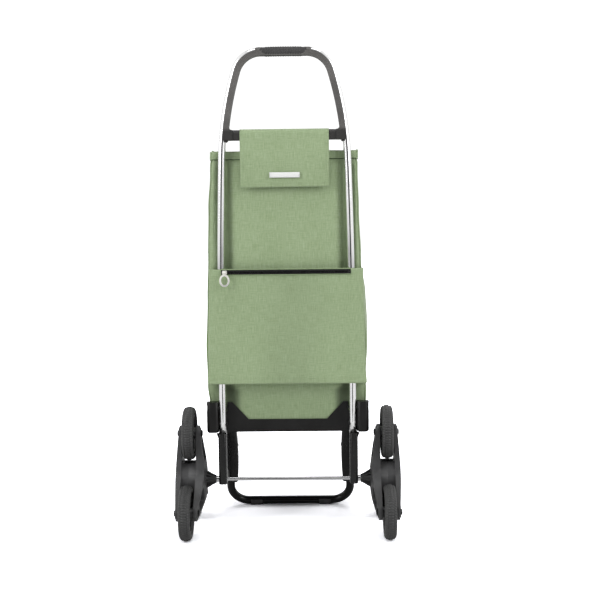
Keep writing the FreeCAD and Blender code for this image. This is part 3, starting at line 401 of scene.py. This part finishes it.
def dress_frame():
    dress("handle_arch", HANDLE_SHADED, 0.0028, 3)
    dress("handle_screws", STEEL, 0.0004)
    dress("leg_right", BLACK, 0.0008)
    dress("leg_left", BLACK, 0.0008)
    dress("leg_rivets", BLACK, 0.0005)
    dress("foot_tube", FOOT)
    dress("foot_rivets", STEEL, 0.0005)
    dress("foot_pads", TYRE, 0.0008)
    dress("axle", AXLE)
    dress("axle_caps", STEEL, 0.0006)
    dress("tray", TRAY, 0.0008)
    dress("tray_pins", BLACK, 0.0005)
    dress("base_board", BOARD, 0.0005)
    dress("star_outer", STAR, 0.0012)
    dress("star_inner_right", STAR_RIGHT_SHADED, 0.0010)
    dress("star_inner_left", STAR_LEFT_SHADED, 0.0010)
    dress("star_bush", BUSH)
    dress("star_pins", BLACK, 0.0005)
    dress("star_screws", STEEL, 0.0004)
    dress("rim", RIM, 0.0006)
    dress("wheel_bush", BUSH)
    dress("zip_slider", ZIP_METAL, 0.0004)
    dress("zip_pull", ZIP_METAL, 0.0005, 3)


# --- tyres ----------------------------------------------------------------------------------------
def tyre(node):
    """A solid tyre: cross ribs along its crown, a groove on each side of them, notched shoulders."""
    bulge, rib_cut, notch_cut, groove_cut, seat_cut = 0.0095, 0.0021, 0.0016, 0.0018, 0.0006
    low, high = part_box(node)
    centre = (low + high) / 2
    radius = (high.z - low.z) / 2
    half = (high.x - low.x) / 2
    ribs, steps, across = 62, 6, 44
    around = ribs * steps
    verts = []
    for i in range(around):
        turn = 2 * math.pi * i / around
        cut = (0.0, 0.0, 0.0, 0.25, 1.0, 0.8)[i % steps]
        notch = (0.0, 0.0, 0.9, 1.0, 0.0, 0.0)[i % steps]
        for j in range(across):
            angle = 2 * math.pi * j / across  # 0 at the crown, pi at the seat
            rise = math.cos(angle)
            x = half * math.copysign(abs(math.sin(angle)) ** 0.85, math.sin(angle))
            out = radius - bulge + bulge * (abs(rise) ** 0.9 if rise > 0 else 0.7 * rise)
            where = abs(x) / half
            if rise > 0:
                crown = smooth(where, 0.02, 0.10) * (1 - smooth(where, 0.36, 0.42))
                shoulder = smooth(where, 0.56, 0.62) * (1 - smooth(where, 0.82, 0.9))
                out -= rib_cut * crown * cut + notch_cut * shoulder * notch
                out -= groove_cut * hump(where, 0.38, 0.56)
            else:
                out -= seat_cut * hump(where, 0.90, 1.02)
            verts.append((centre.x + x, centre.y + out * math.cos(turn), centre.z + out * math.sin(turn)))
    faces = grid_faces(around, across, True)
    last = (around - 1) * across
    faces += [(last + c, last + (c + 1) % across, (c + 1) % across, c) for c in range(across)]
    piece = mesh_piece(f"{node}_tread", verts, faces, TYRE, node.replace("tyre", "wheel"))
    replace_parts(piece, node)


# --- hoop -----------------------------------------------------------------------------------------
HOOP_TOP = TUBE_HIGH.z - TUBE_R
LOWER_LEAN = math.asin((UPPER_BEND_Z - LOWER_BEND_Z) / LOWER_BEND_R)
UPPER_X = TUBE_X - LOWER_BEND_R + (LOWER_BEND_R - UPPER_BEND_R) * math.cos(LOWER_LEAN)
UPPER_Z = LOWER_BEND_Z + (LOWER_BEND_R - UPPER_BEND_R) * math.sin(LOWER_LEAN)
SHOULDER_FOOT_Z = UPPER_Z + UPPER_BEND_R * math.sin(SHOULDER_LEAN)
SHOULDER_R = (HOOP_TOP - SHOULDER_FOOT_Z) / (1 - math.sin(SHOULDER_LEAN))
SHOULDER_X = UPPER_X + (UPPER_BEND_R - SHOULDER_R) * math.cos(SHOULDER_LEAN)


def ringed(name, line, radii, finish):
    """A closed round bar about (x, z, lean) points in the plane of the tubes."""
    sides, verts = 40, []
    for (x, z, lean), radius in zip(line, radii):
        for k in range(sides):
            a = 2 * math.pi * k / sides
            out = radius * math.cos(a)
            verts.append((x + out * math.cos(lean), MID_Y + radius * math.sin(a), z + out * math.sin(lean)))
    faces = grid_faces(len(line), sides, True)
    faces += [tuple(reversed(range(sides))), tuple((len(line) - 1) * sides + k for k in range(sides))]
    return mesh_piece(name, verts, faces, finish, "frame")


def hoop():
    """The polished tube, swept smoothly up one side, over the top, and down the other."""
    line = [(TUBE_X, z, 0.0) for z in np.linspace(TUBE_LOW.z, LOWER_BEND_Z, 8)[:-1]]
    for x, z, r, start, end, count in (
        (TUBE_X - LOWER_BEND_R, LOWER_BEND_Z, LOWER_BEND_R, 0.0, LOWER_LEAN, 20),
        (UPPER_X, UPPER_Z, UPPER_BEND_R, LOWER_LEAN, SHOULDER_LEAN, 20),
        (SHOULDER_X, HOOP_TOP - SHOULDER_R, SHOULDER_R, SHOULDER_LEAN, math.pi / 2, 24),
    ):
        line += [(x + r * math.cos(t), z + r * math.sin(t), t) for t in np.linspace(start, end, count)[1:]]
    line += [(-x, z, math.pi - t) for x, z, t in reversed(line)]
    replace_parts(ringed("hoop", line, [TUBE_R] * len(line), ALUMINIUM), "frame_tube")


def arch_shoulders():
    """Where the moulded arch climbs over the tube, from each shoulder to the grip."""
    over_tube, sink, thinning, reach = TUBE_R + 0.0007, 0.007, 0.0052, math.radians(40)
    for side, word in ((1, "right"), (-1, "left")):
        line = [(GRIP_HIGH.x * 0.9, HOOP_TOP, math.pi / 2)]
        radii = [over_tube]
        for share in np.linspace(0, 1, 25):
            t = math.pi / 2 - reach * share
            sunk = smooth(share, 0.05, 1.0)
            r = SHOULDER_R - sink * sunk
            line.append((SHOULDER_X + r * math.cos(t), HOOP_TOP - SHOULDER_R + r * math.sin(t), t))
            radii.append(over_tube - thinning * sunk)
        if side < 0:
            line = [(-x, z, math.pi - t) for x, z, t in reversed(line)]
            radii.reverse()
        ringed(f"arch_shoulder_{word}", line, radii, SHOULDER)


# --- bag ------------------------------------------------------------------------------------------
BAG_HEIGHT = BAG_HIGH.z - BAG_LOW.z
BAG_REAR = BAG_LOW.y
HEM = 0.016
BAG_GIRTH = 2 * (0.34 + 0.22)
# At these heights above the bag's foot: how far its left and right sides stand from the middle,
# and how far its front stands from its rear.
SIDE_HEIGHTS = (0.0, 0.06, 0.095, 0.185, 0.29, 0.37, 0.48, 0.56, 0.607)
LEFT_SIDE = (0.1715, 0.1715, 0.1755, 0.1765, 0.1735, 0.1705, 0.167, 0.162, 0.1605)
RIGHT_SIDE = (0.1715, 0.1715, 0.1725, 0.1740, 0.1700, 0.163, 0.159, 0.157, 0.1565)
FRONT_DEPTH = (0.219, 0.219, 0.224, 0.232, 0.230, 0.226, 0.219, 0.212, 0.210)


def eased(height, values):
    """A smooth curve through values at SIDE_HEIGHTS."""
    for a, b, low, high in zip(SIDE_HEIGHTS, SIDE_HEIGHTS[1:], values, values[1:]):
        if height <= b:
            return low + (high - low) * smooth(height, a, b)
    return values[-1]


def bag_outline():
    """(side of x, side of y, normal x, normal y) round the bag's plan, from the rear's middle."""
    points = []
    rear, corner, side = 44, 7, 40

    def straight(count, start, end, normal):
        for k in range(count):
            share = k / count
            x = start[0] + (end[0] - start[0]) * share
            y = start[1] + (end[1] - start[1]) * share
            points.append((x, y, *normal))

    def turn(sx, sy, first):
        for k in range(corner):
            a = math.radians(first + 90 * k / corner)
            points.append((sx, sy, math.cos(a), math.sin(a)))

    straight(rear // 2, (0, -1), (1, -1), (0, -1))
    turn(1, -1, -90)
    straight(side, (1, -1), (1, 1), (1, 0))
    turn(1, 1, 0)
    straight(rear, (1, 1), (-1, 1), (0, 1))
    turn(-1, 1, 90)
    straight(side, (-1, 1), (-1, -1), (-1, 0))
    turn(-1, -1, 180)
    straight(rear // 2, (-1, -1), (0, -1), (0, -1))
    return points


def bag_point(plan, height, stand_out=0.0):
    """A point of the bag's cloth at a height above its foot."""
    sx, sy, nx, ny = plan
    corner = 0.013
    half = eased(height, RIGHT_SIDE if sx > 0 else LEFT_SIDE)
    depth = eased(height, FRONT_DEPTH)
    x = sx * (half - corner) + corner * nx
    y = BAG_REAR + depth / 2 + sy * (depth / 2 - corner) + corner * ny
    z = BAG_LOW.z + height
    # the rear panel swells between the tubes and outside them, and is pressed back at each tube
    free = smooth(height, 0.06, 0.115) * (1 - 0.75 * smooth(height, 0.56, 0.60))
    rear = max(0.0, -ny)
    if rear:
        inside = 1 - smooth(abs(x), TUBE_X - 0.046, TUBE_X - 0.014)
        pressed = hump(abs(x), TUBE_X - 0.027, TUBE_X + 0.007)
        outside = smooth(abs(x), TUBE_X + 0.004, TUBE_X + 0.011)
        y -= free * rear * (0.0062 * inside + 0.0015 + 0.0085 * outside - 0.011 * pressed)
    side = abs(nx) * hump(y, BAG_REAR, BAG_REAR + depth)
    swell = 0.006 * hump(height, 0.07, 0.42) - 0.008 * hump(height, 0.30, 0.62)
    x += math.copysign(1.0, nx) * side * swell if nx else 0.0
    front = max(0.0, ny)
    y += front * free * 0.006 * (1 - (x / half) ** 2)
    # soft creases
    at = Vector((x * 9 + 3.1, y * 9, z * 3.4))
    crease = noise.noise(at) + 0.5 * noise.noise(at * 2.3) + 0.22 * noise.noise(at * 5.1)
    near_foot = hump(height, 0.05, 0.26)
    slanted = noise.noise(Vector((x * 16 + z * 9, y * 12, z * 15)))
    push = free * (0.0014 * crease + 0.0016 * near_foot * slanted) * (0.55 if rear > 0.5 else 1.4)
    push += stand_out
    return Vector((x + nx * push, y + ny * push, z))


def painted_fold_shade(plan, point, height):
    """Painted shade for the rear panel's cloth, 0 to 1: in the fold beside each tube, wider and darker low
    down under the pocket, with a little all across the panel there.
    """
    rear, across = max(0.0, -plan[3]), abs(point.x)
    under = 1 - smooth(height, 0.085, 0.11)
    reach = 0.017 + 0.007 * height / BAG_HEIGHT + 0.026 * under
    beside = smooth(across, TUBE_X - reach, TUBE_X - reach + 0.008 + 0.010 * under)
    beside *= 1 - smooth(across, TUBE_X - 0.008, TUBE_X + 0.002)
    return min(1.0, rear * (0.36 * beside + 0.5 * under * beside + 0.18 * under))


def bag():
    outline = bag_outline()
    count, rows = len(outline), 124
    verts, uvs, painted_shade = [], [], []
    for r in range(rows):
        height = BAG_HEIGHT * r / (rows - 1)
        hem = smooth(height, BAG_HEIGHT - HEM - 0.001, BAG_HEIGHT - HEM + 0.001)
        seam = hump(height, BAG_HEIGHT - HEM - 0.007, BAG_HEIGHT - HEM)
        for k, plan in enumerate(outline):
            verts.append(bag_point(plan, height, 0.0009 * hem - 0.0016 * seam))
            uvs.append((BAG_GIRTH * k / count, height))
            # painted shade in the folds beside the tubes and low down under the pocket
            painted_shade.append(painted_fold_shade(plan, verts[-1], height))
    faces = grid_faces(rows, count, True)
    faces.append(tuple(reversed(range(count))))
    piece = mesh_piece("bag", verts, faces, GREEN, "frame", uvs)
    piece.data.attributes.new("painted_shade", "FLOAT", "POINT").data.foreach_set("value", painted_shade)
    thicken(piece, CLOTH, inner=LINING)
    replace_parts(piece, "bag_body")
    flatten(piece)
    # welted seams up the four corners, and the stitches under the hem
    for n, (sx, sy) in enumerate(((1, -1), (1, 1), (-1, 1), (-1, -1))):
        plan = (sx, sy, sx * math.sqrt(0.5), sy * math.sqrt(0.5))
        heights = [0.012 + (BAG_HEIGHT - 0.014) * k / 90 for k in range(91)]
        line = [bag_point(plan, height, 0.0004) for height in heights]
        flatten(tube_along(f"bag_welt_{n + 1}", line, 0.0014, GREEN_PLAIN, "frame"))
    under_hem = BAG_HEIGHT - HEM + 0.004
    line = [bag_point(plan, under_hem, 0.0008) for plan in outline + outline[:1]]
    flatten(stitches("bag_hem_stitches", line, THREAD, "frame"))
    # a dark cord in the groove under the hem: painted shadow
    line = [bag_point(plan, BAG_HEIGHT - HEM - 0.0012, -0.0002) for plan in outline]
    flatten(tube_along("bag_hem_seam_shadow", line, 0.0009, SEAM_SHADOW, "frame", 4, True))


def flatten(piece):
    """Gives a piece of the bag's or lid's cloth a mesh of its own."""
    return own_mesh(piece)


# --- lid ------------------------------------------------------------------------------------------
def lid():
    """A soft cover: a slightly domed top, a rear edge that curls down, and a skirt at the front."""
    rear_y, front_y = LID_LOW.y + 0.002, LID_HIGH.y
    half = LID_HIGH.x
    top = LID_HIGH.z - 0.0034
    drop = LID_HIGH.z - LID_LOW.z
    bend = 0.012
    path = [("top", s) for s in np.linspace(0, 1, 40)]
    path += [("turn", s) for s in np.linspace(0, 1, 8)[1:]]
    path += [("skirt", s) for s in np.linspace(0, 1, 20)[1:]]
    columns = 61
    verts, uvs, travelled, before = [], [], 0.0, None
    for kind, share in path:
        if kind == "top":
            y, z = rear_y + (front_y - bend - rear_y) * share, top
        elif kind == "turn":
            angle = share * math.pi / 2
            y, z = front_y - bend + bend * math.sin(angle), top - bend + bend * math.cos(angle)
        else:
            y, z = front_y - 0.004 * hump(share, 0.0, 1.0), top - bend - (drop - bend) * share
        if before is not None:
            travelled += math.hypot(y - before[0], z - before[1])
        before = (y, z)
        for c in range(columns):
            across = -1 + 2 * c / (columns - 1)
            x = across * half
            lift = 0.0
            if kind == "top":
                lift = 0.003 * (1 - across**4) * smooth(share, 0.0, 0.4) * hump(share, -0.15, 1.15)
                lift -= 0.0035 * (1 - smooth(share, 0.0, 0.035))
            ripple = 0.0011 * noise.noise(Vector((x * 14, y * 14, z * 9)))
            out = ripple if kind == "skirt" else 0.0
            verts.append((x, y + out, z + lift + (ripple if kind == "top" else 0.0)))
            uvs.append((x, travelled))
    piece = mesh_piece("lid_cover", verts, grid_faces(len(path), columns), GREEN, "lid", uvs)
    thicken(piece, CLOTH, inner=LINING)
    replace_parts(piece, "lid")
    flatten(piece)
    left = [Vector(verts[r * columns]) for r in range(len(path))]
    right = [Vector(verts[r * columns + columns - 1]) for r in range(len(path))]
    foot = [Vector(verts[(len(path) - 1) * columns + c]) for c in range(columns)]
    line = left + foot[1:-1] + right[::-1]
    flatten(tube_along("lid_binding", line, 0.0017, GREEN_PLAIN, "lid"))
    for word, column in (("left", 2), ("right", columns - 3)):
        line = [Vector(verts[r * columns + column]) + Vector((0, 0, 0.0004)) for r in range(len(path))]
        flatten(stitches(f"lid_stitches_{word}", line, THREAD, "lid"))


# --- strap over the handle's crossbar -------------------------------------------------------------
def strap():
    """One strip of cloth: sewn to the bag's rear, up behind the crossbar, over it, and down."""
    half = FLAP_HIGH.x
    radius = 0.0096
    bar_z = WRAP_HIGH.z - 0.0104
    path = []
    sewn = BAG_REAR - 0.001
    for k in range(12):  # sewn to the bag and up to the bar
        share = k / 12
        y = sewn + (MID_Y + radius - sewn) * smooth(share, 0.0, 0.8)
        path.append((y, WRAP_LOW.z + 0.004 + (bar_z - WRAP_LOW.z - 0.004) * share))
    for k in range(17):  # over the bar
        angle = math.pi * k / 16
        path.append((MID_Y + radius * math.cos(angle), bar_z + radius * math.sin(angle)))
    fall = bar_z - FLAP_LOW.z
    for k in range(1, 31):  # hanging down
        share = k / 30
        path.append((MID_Y - radius - 0.0022 * hump(share, 0.0, 1.0) + 0.001 * share, bar_z - fall * share))
    columns = 49
    verts, uvs, travelled, before = [], [], 0.0, None
    for row, (y, z) in enumerate(path):
        if before is not None:
            travelled += math.hypot(y - before[0], z - before[1])
        before = (y, z)
        hanging = smooth(row, 29, len(path) - 1)
        for c in range(columns):
            across = -1 + 2 * c / (columns - 1)
            x = across * half
            lifted = 0.0016 * hanging * smooth(-across, 0.6, 1.0)
            ripple = 0.0007 * hanging * noise.noise(Vector((x * 17, 0.3, z * 11)))
            verts.append((x, y - lifted + ripple, z + 0.0005 * hanging * across))
            uvs.append((x, travelled))
    piece = mesh_piece("strap", verts, grid_faces(len(path), columns), GREEN, "frame", uvs)
    thicken(piece, CLOTH, 1.0)
    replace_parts(piece, "flap", "bar_wrap")
    # it bends across two bodies, so it doesn't ride on one of them
    piece.parent = None
    del piece["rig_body"]
    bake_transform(piece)
    # stitched hem of the hanging end
    out = Vector((0, -CLOTH - 0.0003, 0))
    last = len(path) - 1
    row_in, first = last - 2, 33

    def at(row, column):
        return Vector(verts[row * columns + column]) + out

    line = [at(r, 2) for r in range(first, row_in + 1)]
    line += [at(row_in, c) for c in range(3, columns - 2)]
    line += [at(r, columns - 3) for r in range(row_in - 1, first - 1, -1)]
    stitches("flap_stitches", line, THREAD, "flap")
    label(Vector((0.0, MID_Y - radius - CLOTH - 0.0026, FLAP_LOW.z + 0.0255)))


def label(centre):
    """A small blank woven label, sewn on."""
    wide, tall, rows, columns = 0.064, 0.011, 7, 25
    verts, uvs = [], []
    for r in range(rows):
        for c in range(columns):
            x, z = (c / (columns - 1) - 0.5) * wide, (r / (rows - 1) - 0.5) * tall
            edge = max(abs(x) / (wide / 2), abs(z) / (tall / 2))
            verts.append((centre.x + x, centre.y + 0.0007 * smooth(edge, 0.9, 1.0), centre.z + z))
            uvs.append((x, z))
    piece = mesh_piece("label", verts, grid_faces(rows, columns), LABEL, "flap", uvs)
    thicken(piece, 0.0006, 1.0)
    for n, side in enumerate((-1, 1)):
        x = centre.x + side * (wide / 2 - 0.0025)
        line = [Vector((x, centre.y - 0.0007, centre.z + s * tall / 2)) for s in (-0.9, 0.9)]
        stitches(f"label_stitches_{n + 1}", line, LABEL, "flap", 0.0018, 0.0009, 0.00025)


# --- pocket ---------------------------------------------------------------------------------------
POCKET_TOP_X, POCKET_FOOT_X = 0.1655, 0.1700
POCKET_COLUMNS = 130


def pocket_plan(share_up):
    """(x, y, nx, ny) along the pocket's plan from its left root, round the front, to the right."""
    half = POCKET_FOOT_X + (POCKET_TOP_X - POCKET_FOOT_X) * share_up
    front = POCKET_LOW.y + CLOTH
    root = BAG_REAR + 0.004
    bend = 0.006
    points = [(-half, root + (front + bend - root) * k / 5, -1.0, 0.0) for k in range(5)]
    points += [
        (-half + bend - bend * math.cos(a), front + bend - bend * math.sin(a), -math.cos(a), -math.sin(a))
        for a in np.linspace(0, math.pi / 2, 5)
    ]
    flat = POCKET_COLUMNS
    points += [(-half + bend + 2 * (half - bend) * k / flat, front, 0.0, -1.0) for k in range(1, flat)]
    points += [
        (half - bend + bend * math.sin(a), front + bend - bend * math.cos(a), math.sin(a), -math.cos(a))
        for a in np.linspace(0, math.pi / 2, 5)
    ]
    points += [(half, front + bend + (root - front - bend) * k / 5, 1.0, 0.0) for k in range(1, 6)]
    return points


def pocket():
    """The panel that spans the tubes: stretched over them, a little slack between."""
    steps = 69
    tall = POCKET_HIGH.z - POCKET_LOW.z
    slot_low = TAPE_LOW.z - POCKET_LOW.z
    verts, uvs, painted_shade, plan_count = [], [], [], len(pocket_plan(0))
    rise = [tall * r / steps for r in range(steps + 1)]
    rise = [z for z in rise if z < slot_low - 0.001]
    rise += [slot_low] + [slot_low + (tall - slot_low) * k / 5 for k in range(1, 6)]
    for height in rise:
        travelled, before = 0.0, None
        for x, y, nx, ny in pocket_plan(height / tall):
            front = max(0.0, -ny)
            between = 1 - smooth(abs(x), TUBE_X - 0.030, TUBE_X - 0.006)
            slack = 0.0020 * between * hump(height, -0.03, tall + 0.03)
            outer = 0.0015 * smooth(abs(x), TUBE_X + 0.007, TUBE_X + 0.02)
            at = Vector((x * 11, 1.7, height * 7))
            ripple = 0.0010 * noise.noise(at) + 0.0006 * noise.noise(at * 2.7)
            ripple *= hump(height, -0.02, tall + 0.02)
            hem = 0.0006 * (1 - smooth(height, 0.010, 0.013)) + 0.0006 * hump(height, 0.0105, 0.0145)
            flare = 0.0022 * (1 - smooth(height, 0.0, 0.05)) * smooth(abs(x), TUBE_X, POCKET_FOOT_X)
            push = front * (ripple - slack - outer + hem) + flare
            verts.append((x + nx * push, y + ny * push, POCKET_LOW.z + height))
            if before is not None:
                travelled += math.hypot(x - before[0], y - before[1])
            before = (x, y)
            uvs.append((travelled, height))
            # painted shade darkening the pocket's middle, with a faint random mottle
            painted_shade.append(0.12 * (1 - smooth(abs(x - 0.01), 0.02, 0.10)) + 0.05 * noise.noise(at))
    slot_row = rise.index(slot_low)

    def in_slot(r, c):
        middle = verts[r * plan_count + c][0] / 2 + verts[r * plan_count + c + 1][0] / 2
        return r >= slot_row and abs(middle) < TAPE_HIGH.x and 10 < c < plan_count - 10

    faces = grid_faces(len(rise), plan_count, skip=in_slot)
    piece = mesh_piece("pocket", verts, faces, GREEN, "frame", uvs)
    piece.data.attributes.new("painted_shade", "FLOAT", "POINT").data.foreach_set("value", painted_shade)
    thicken(piece, CLOTH)
    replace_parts(piece, "rear_pocket")
    # bottom of the pocket, between the tubes
    half = TUBE_X - TUBE_R - 0.004
    verts, uvs = [], []
    for r in range(6):
        for c in range(31):
            x = half * (-1 + 2 * c / 30)
            y = POCKET_LOW.y + CLOTH * 1.5 + (BAG_REAR - 0.006 - POCKET_LOW.y - CLOTH) * r / 5
            verts.append((x, y, POCKET_LOW.z + 0.003 - 0.002 * math.sin(math.pi * r / 5)))
            uvs.append((x, y))
    piece = mesh_piece("pocket_bottom", verts, grid_faces(6, 31), GREEN, "frame", uvs)
    thicken(piece, CLOTH, 1.0)
    # the folded edge under the zip
    reach, edge_y = TAPE_HIGH.x, POCKET_LOW.y + CLOTH
    for name, z in (("low", POCKET_LOW.z + slot_low), ("high", TAPE_HIGH.z + 0.0006)):
        line = [Vector((-reach + 2 * reach * k / 60, edge_y, z)) for k in range(61)]
        tube_along(f"pocket_edge_{name}", line, 0.0013, GREEN_PLAIN, "frame")
    # seams: a stitched line above the bottom edge and one under the zip
    front = POCKET_LOW.y - 0.0006
    rows = (("bottom", 0.012, POCKET_FOOT_X - 0.008), ("zip", slot_low - 0.0025, TAPE_HIGH.x))
    for name, height, reach in rows:
        line = [Vector((-reach + 2 * reach * k / 40, front, POCKET_LOW.z + height)) for k in range(41)]
        stitches(f"pocket_stitches_{name}", line, THREAD, "frame")


# --- zip ------------------------------------------------------------------------------------------
def zip_fastener():
    """A woven tape with a row of teeth down the middle."""
    half, middle = TAPE_HIGH.x, (TAPE_LOW.z + TAPE_HIGH.z) / 2
    front = TAPE_LOW.y + 0.0006
    tall = (TAPE_HIGH.z - TAPE_LOW.z) / 2
    verts, uvs = [], []
    rows, columns = 15, 80
    for r in range(rows):
        up = -1 + 2 * r / (rows - 1)
        for c in range(columns):
            x = half * (-1 + 2 * c / (columns - 1))
            verts.append((x, front + 0.0008 * abs(up) ** 2, middle + up * tall))
            uvs.append((x, up * tall))
    piece = mesh_piece("zip_tapes", verts, grid_faces(rows, columns), ZIP_CLOTH, "frame", uvs)
    thicken(piece, 0.0009)
    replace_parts(piece, "zip_tape")
    pitch = 0.0021
    verts, faces = [], []
    for k in range(int(2 * (half - 0.006) / pitch)):
        x = -half + 0.006 + k * pitch
        side = 1 if k % 2 else -1
        base = len(verts)
        low, high = (-0.0007, 0.0020) if side > 0 else (-0.0020, 0.0007)
        for dx in (0.0002, pitch * 0.82):
            for dy, dz in ((0.0, low), (-0.0012, low + 0.0005), (-0.0012, high - 0.0005), (0.0, high)):
                verts.append((x + dx, front + dy, middle + dz))
        faces += [(base + n, base + n + 1, base + n + 5, base + n + 4) for n in range(3)]
        faces += [(base, base + 3, base + 2, base + 1), (base + 4, base + 5, base + 6, base + 7)]
    teeth = mesh_piece("zip_teeth", verts, faces, BLACK, "frame")
    teeth.data.polygons.foreach_set("use_smooth", [False] * len(teeth.data.polygons))


# --- grip -----------------------------------------------------------------------------------------
def grip():
    """The soft sleeve at the top of the handle, with shallow ribs round it."""
    middle_z, middle_y = (GRIP_LOW.z + GRIP_HIGH.z) / 2, MID_Y
    half_z, half_y = (GRIP_HIGH.z - GRIP_LOW.z) / 2, (GRIP_HIGH.y - GRIP_LOW.y) / 2
    half_x = GRIP_HIGH.x
    around, along = 48, 150
    power = 0.72  # under 1 makes the section squarer than an oval
    verts = []
    for j in range(along):
        share = -1 + 2 * j / (along - 1)
        end = 1 - 0.115 * smooth(abs(share), 0.70, 1.0)
        rib = 0.00035 * math.cos(2 * math.pi * share * half_x / 0.0052) * (1 - smooth(abs(share), 0.78, 0.84))
        for k in range(around):
            a = 2 * math.pi * k / around
            ca, sa = math.cos(a), math.sin(a)
            y = math.copysign(abs(ca) ** power, ca) * (half_y * end + rib)
            z = math.copysign(abs(sa) ** power, sa) * (half_z * end + rib)
            verts.append((share * half_x, middle_y + y, middle_z + z - 0.0006 * share**2))
    faces = grid_faces(along, around, True)
    faces.append(tuple(range(around)))
    faces.append(tuple(reversed([(along - 1) * around + k for k in range(around)])))
    piece = mesh_piece("grip_sleeve", verts, faces, GRIP, "frame")
    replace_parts(piece, "handle_grip")


# --- stage ----------------------------------------------------------------------------------------
def flag(name, place, size, aim):
    """A black card that is seen only in polished surfaces."""
    finish, tree, shader = material(name)
    at = add(tree, "ShaderNodeTexCoord").outputs["Object"]
    tree.links.new(mix(tree, speckle(tree, at, 2.0), grey(0.0), grey(0.004)), shader.inputs["Base Color"])
    shader.inputs["Roughness"].default_value = 1.0
    shader.inputs["Specular IOR Level"].default_value = 0.0
    bpy.ops.mesh.primitive_plane_add(size=1.0, location=place)
    card = bpy.context.object
    card.name = name
    card.scale = (*size, 1.0)
    card.rotation_euler = (Vector(aim) - Vector(place)).to_track_quat("Z", "Y").to_euler()
    card.data.materials.append(finish)
    card.visible_camera = card.visible_diffuse = card.visible_shadow = False


def stage():
    """A plain white floor, pale surroundings, soft lights, and two black cards for the metal."""
    floor_finish, tree, shader = material("studio_floor")
    at = add(tree, "ShaderNodeTexCoord").outputs["Object"]
    faint = mix(tree, speckle(tree, at, 3.0), grey(0.80), grey(0.82))
    seen = add(tree, "ShaderNodeLightPath").outputs["Is Camera Ray"]
    # past white to the camera alone, so the floor is white and only the shadows on it show
    past_white = (2.36, 2.37, 2.45, 1.0)
    tree.links.new(mix(tree, seen, faint, past_white), shader.inputs["Base Color"])
    shader.inputs["Roughness"].default_value = 0.9
    shader.inputs["Specular IOR Level"].default_value = 0.1
    shader.inputs["Emission Color"].default_value = grey(1.0)
    away = add(tree, "ShaderNodeVectorMath", {0: at}, operation="LENGTH").outputs["Value"]
    glow = spread(tree, away, 0.7, 3.0, 0.0, 1.0)
    tree.links.new(maths(tree, "MULTIPLY", seen, glow), shader.inputs["Emission Strength"])
    bpy.ops.mesh.primitive_circle_add(vertices=96, radius=14.0, fill_type="NGON", location=(0, 0, 0))
    floor = bpy.context.object
    floor.name = "floor"
    floor.data.materials.append(floor_finish)
    flag("flag_behind_camera", (0.0, -3.6, 1.0), (2.1, 3.2), (0.0, 0.0, 1.0))
    flag("flag_on_floor", (0.0, -2.4, 0.002), (0.75, 2.3), (0.0, -2.4, 1.0))

    world = bpy.data.worlds.new("studio")
    bpy.context.scene.world = world
    world.use_nodes = True
    tree = world.node_tree
    background = tree.nodes["Background"]
    direction = add(tree, "ShaderNodeTexCoord").outputs["Generated"]
    towards = add(tree, "ShaderNodeSeparateXYZ", {0: direction})
    side = spread(tree, maths(tree, "ABSOLUTE", towards.outputs[0]), 0.25, 0.75, 0.22, 0.5)
    path = add(tree, "ShaderNodeLightPath").outputs
    shiny = spread(tree, maths(tree, "ABSOLUTE", towards.outputs[0]), 0.15, 0.5, 0.25, 0.9)
    shiny = maths(tree, "MULTIPLY", path["Is Glossy Ray"], shiny)
    share = maths(tree, "MAXIMUM", maths(tree, "MAXIMUM", side, shiny), path["Is Camera Ray"])
    tree.links.new(mix(tree, share, grey(0.0), grey(1.0)), background.inputs["Color"])
    background.inputs["Strength"].default_value = 1.1

    for name, place, power, size in (
        ("left_softbox", (-2.4, -1.8, 1.8), 44.0, (0.9, 1.8)),
        ("right_softbox", (2.4, -1.8, 1.8), 40.0, (0.9, 1.8)),
        ("top_softbox", (0.0, -0.6, 3.4), 26.0, (2.2, 1.2)),
        ("far_softbox", (0.6, 2.6, 2.2), 24.0, (2.4, 1.4)),
    ):
        light = bpy.data.lights.new(name, "AREA")
        light.energy = power
        light.shape = "RECTANGLE"
        light.size, light.size_y = size
        lamp = bpy.data.objects.new(name, light)
        bpy.context.scene.collection.objects.link(lamp)
        lamp.location = place
        aim = Vector((0, 0, 0.55)) - Vector(place)
        lamp.rotation_euler = aim.to_track_quat("-Z", "Y").to_euler()


def camera():
    """The viewpoint: behind the trolley, a little to the right, looking slightly down."""
    place = Vector((0.062, -2.381, 0.7035))
    turn, down, roll = math.radians(0.80), math.radians(4.99), math.radians(0.66)
    level = math.cos(down)
    forward = Vector((-math.sin(turn) * level, math.cos(turn) * level, -math.sin(down)))
    right = Vector((math.cos(turn), math.sin(turn), 0))
    up = right.cross(forward)
    side = right * math.cos(roll) - up * math.sin(roll)
    top = right * math.sin(roll) + up * math.cos(roll)
    lens = bpy.data.cameras.new("camera")
    lens.lens = 65.4
    lens.sensor_width = 36.0
    eye = bpy.data.objects.new("camera", lens)
    bpy.context.scene.collection.objects.link(eye)
    axes = Matrix((side, top, -forward)).transposed().to_4x4()
    eye.matrix_world = Matrix.Translation(place) @ axes
    bpy.context.scene.camera = eye


dress_frame()
hoop()
arch_shoulders()
for cad_node in sorted(NODES):
    if cad_node.startswith("tyre_"):
        tyre(cad_node)
bag()
lid()
strap()
pocket()
zip_fastener()
grip()
stage()
camera()
bpy.context.scene.view_settings.view_transform = "Standard"
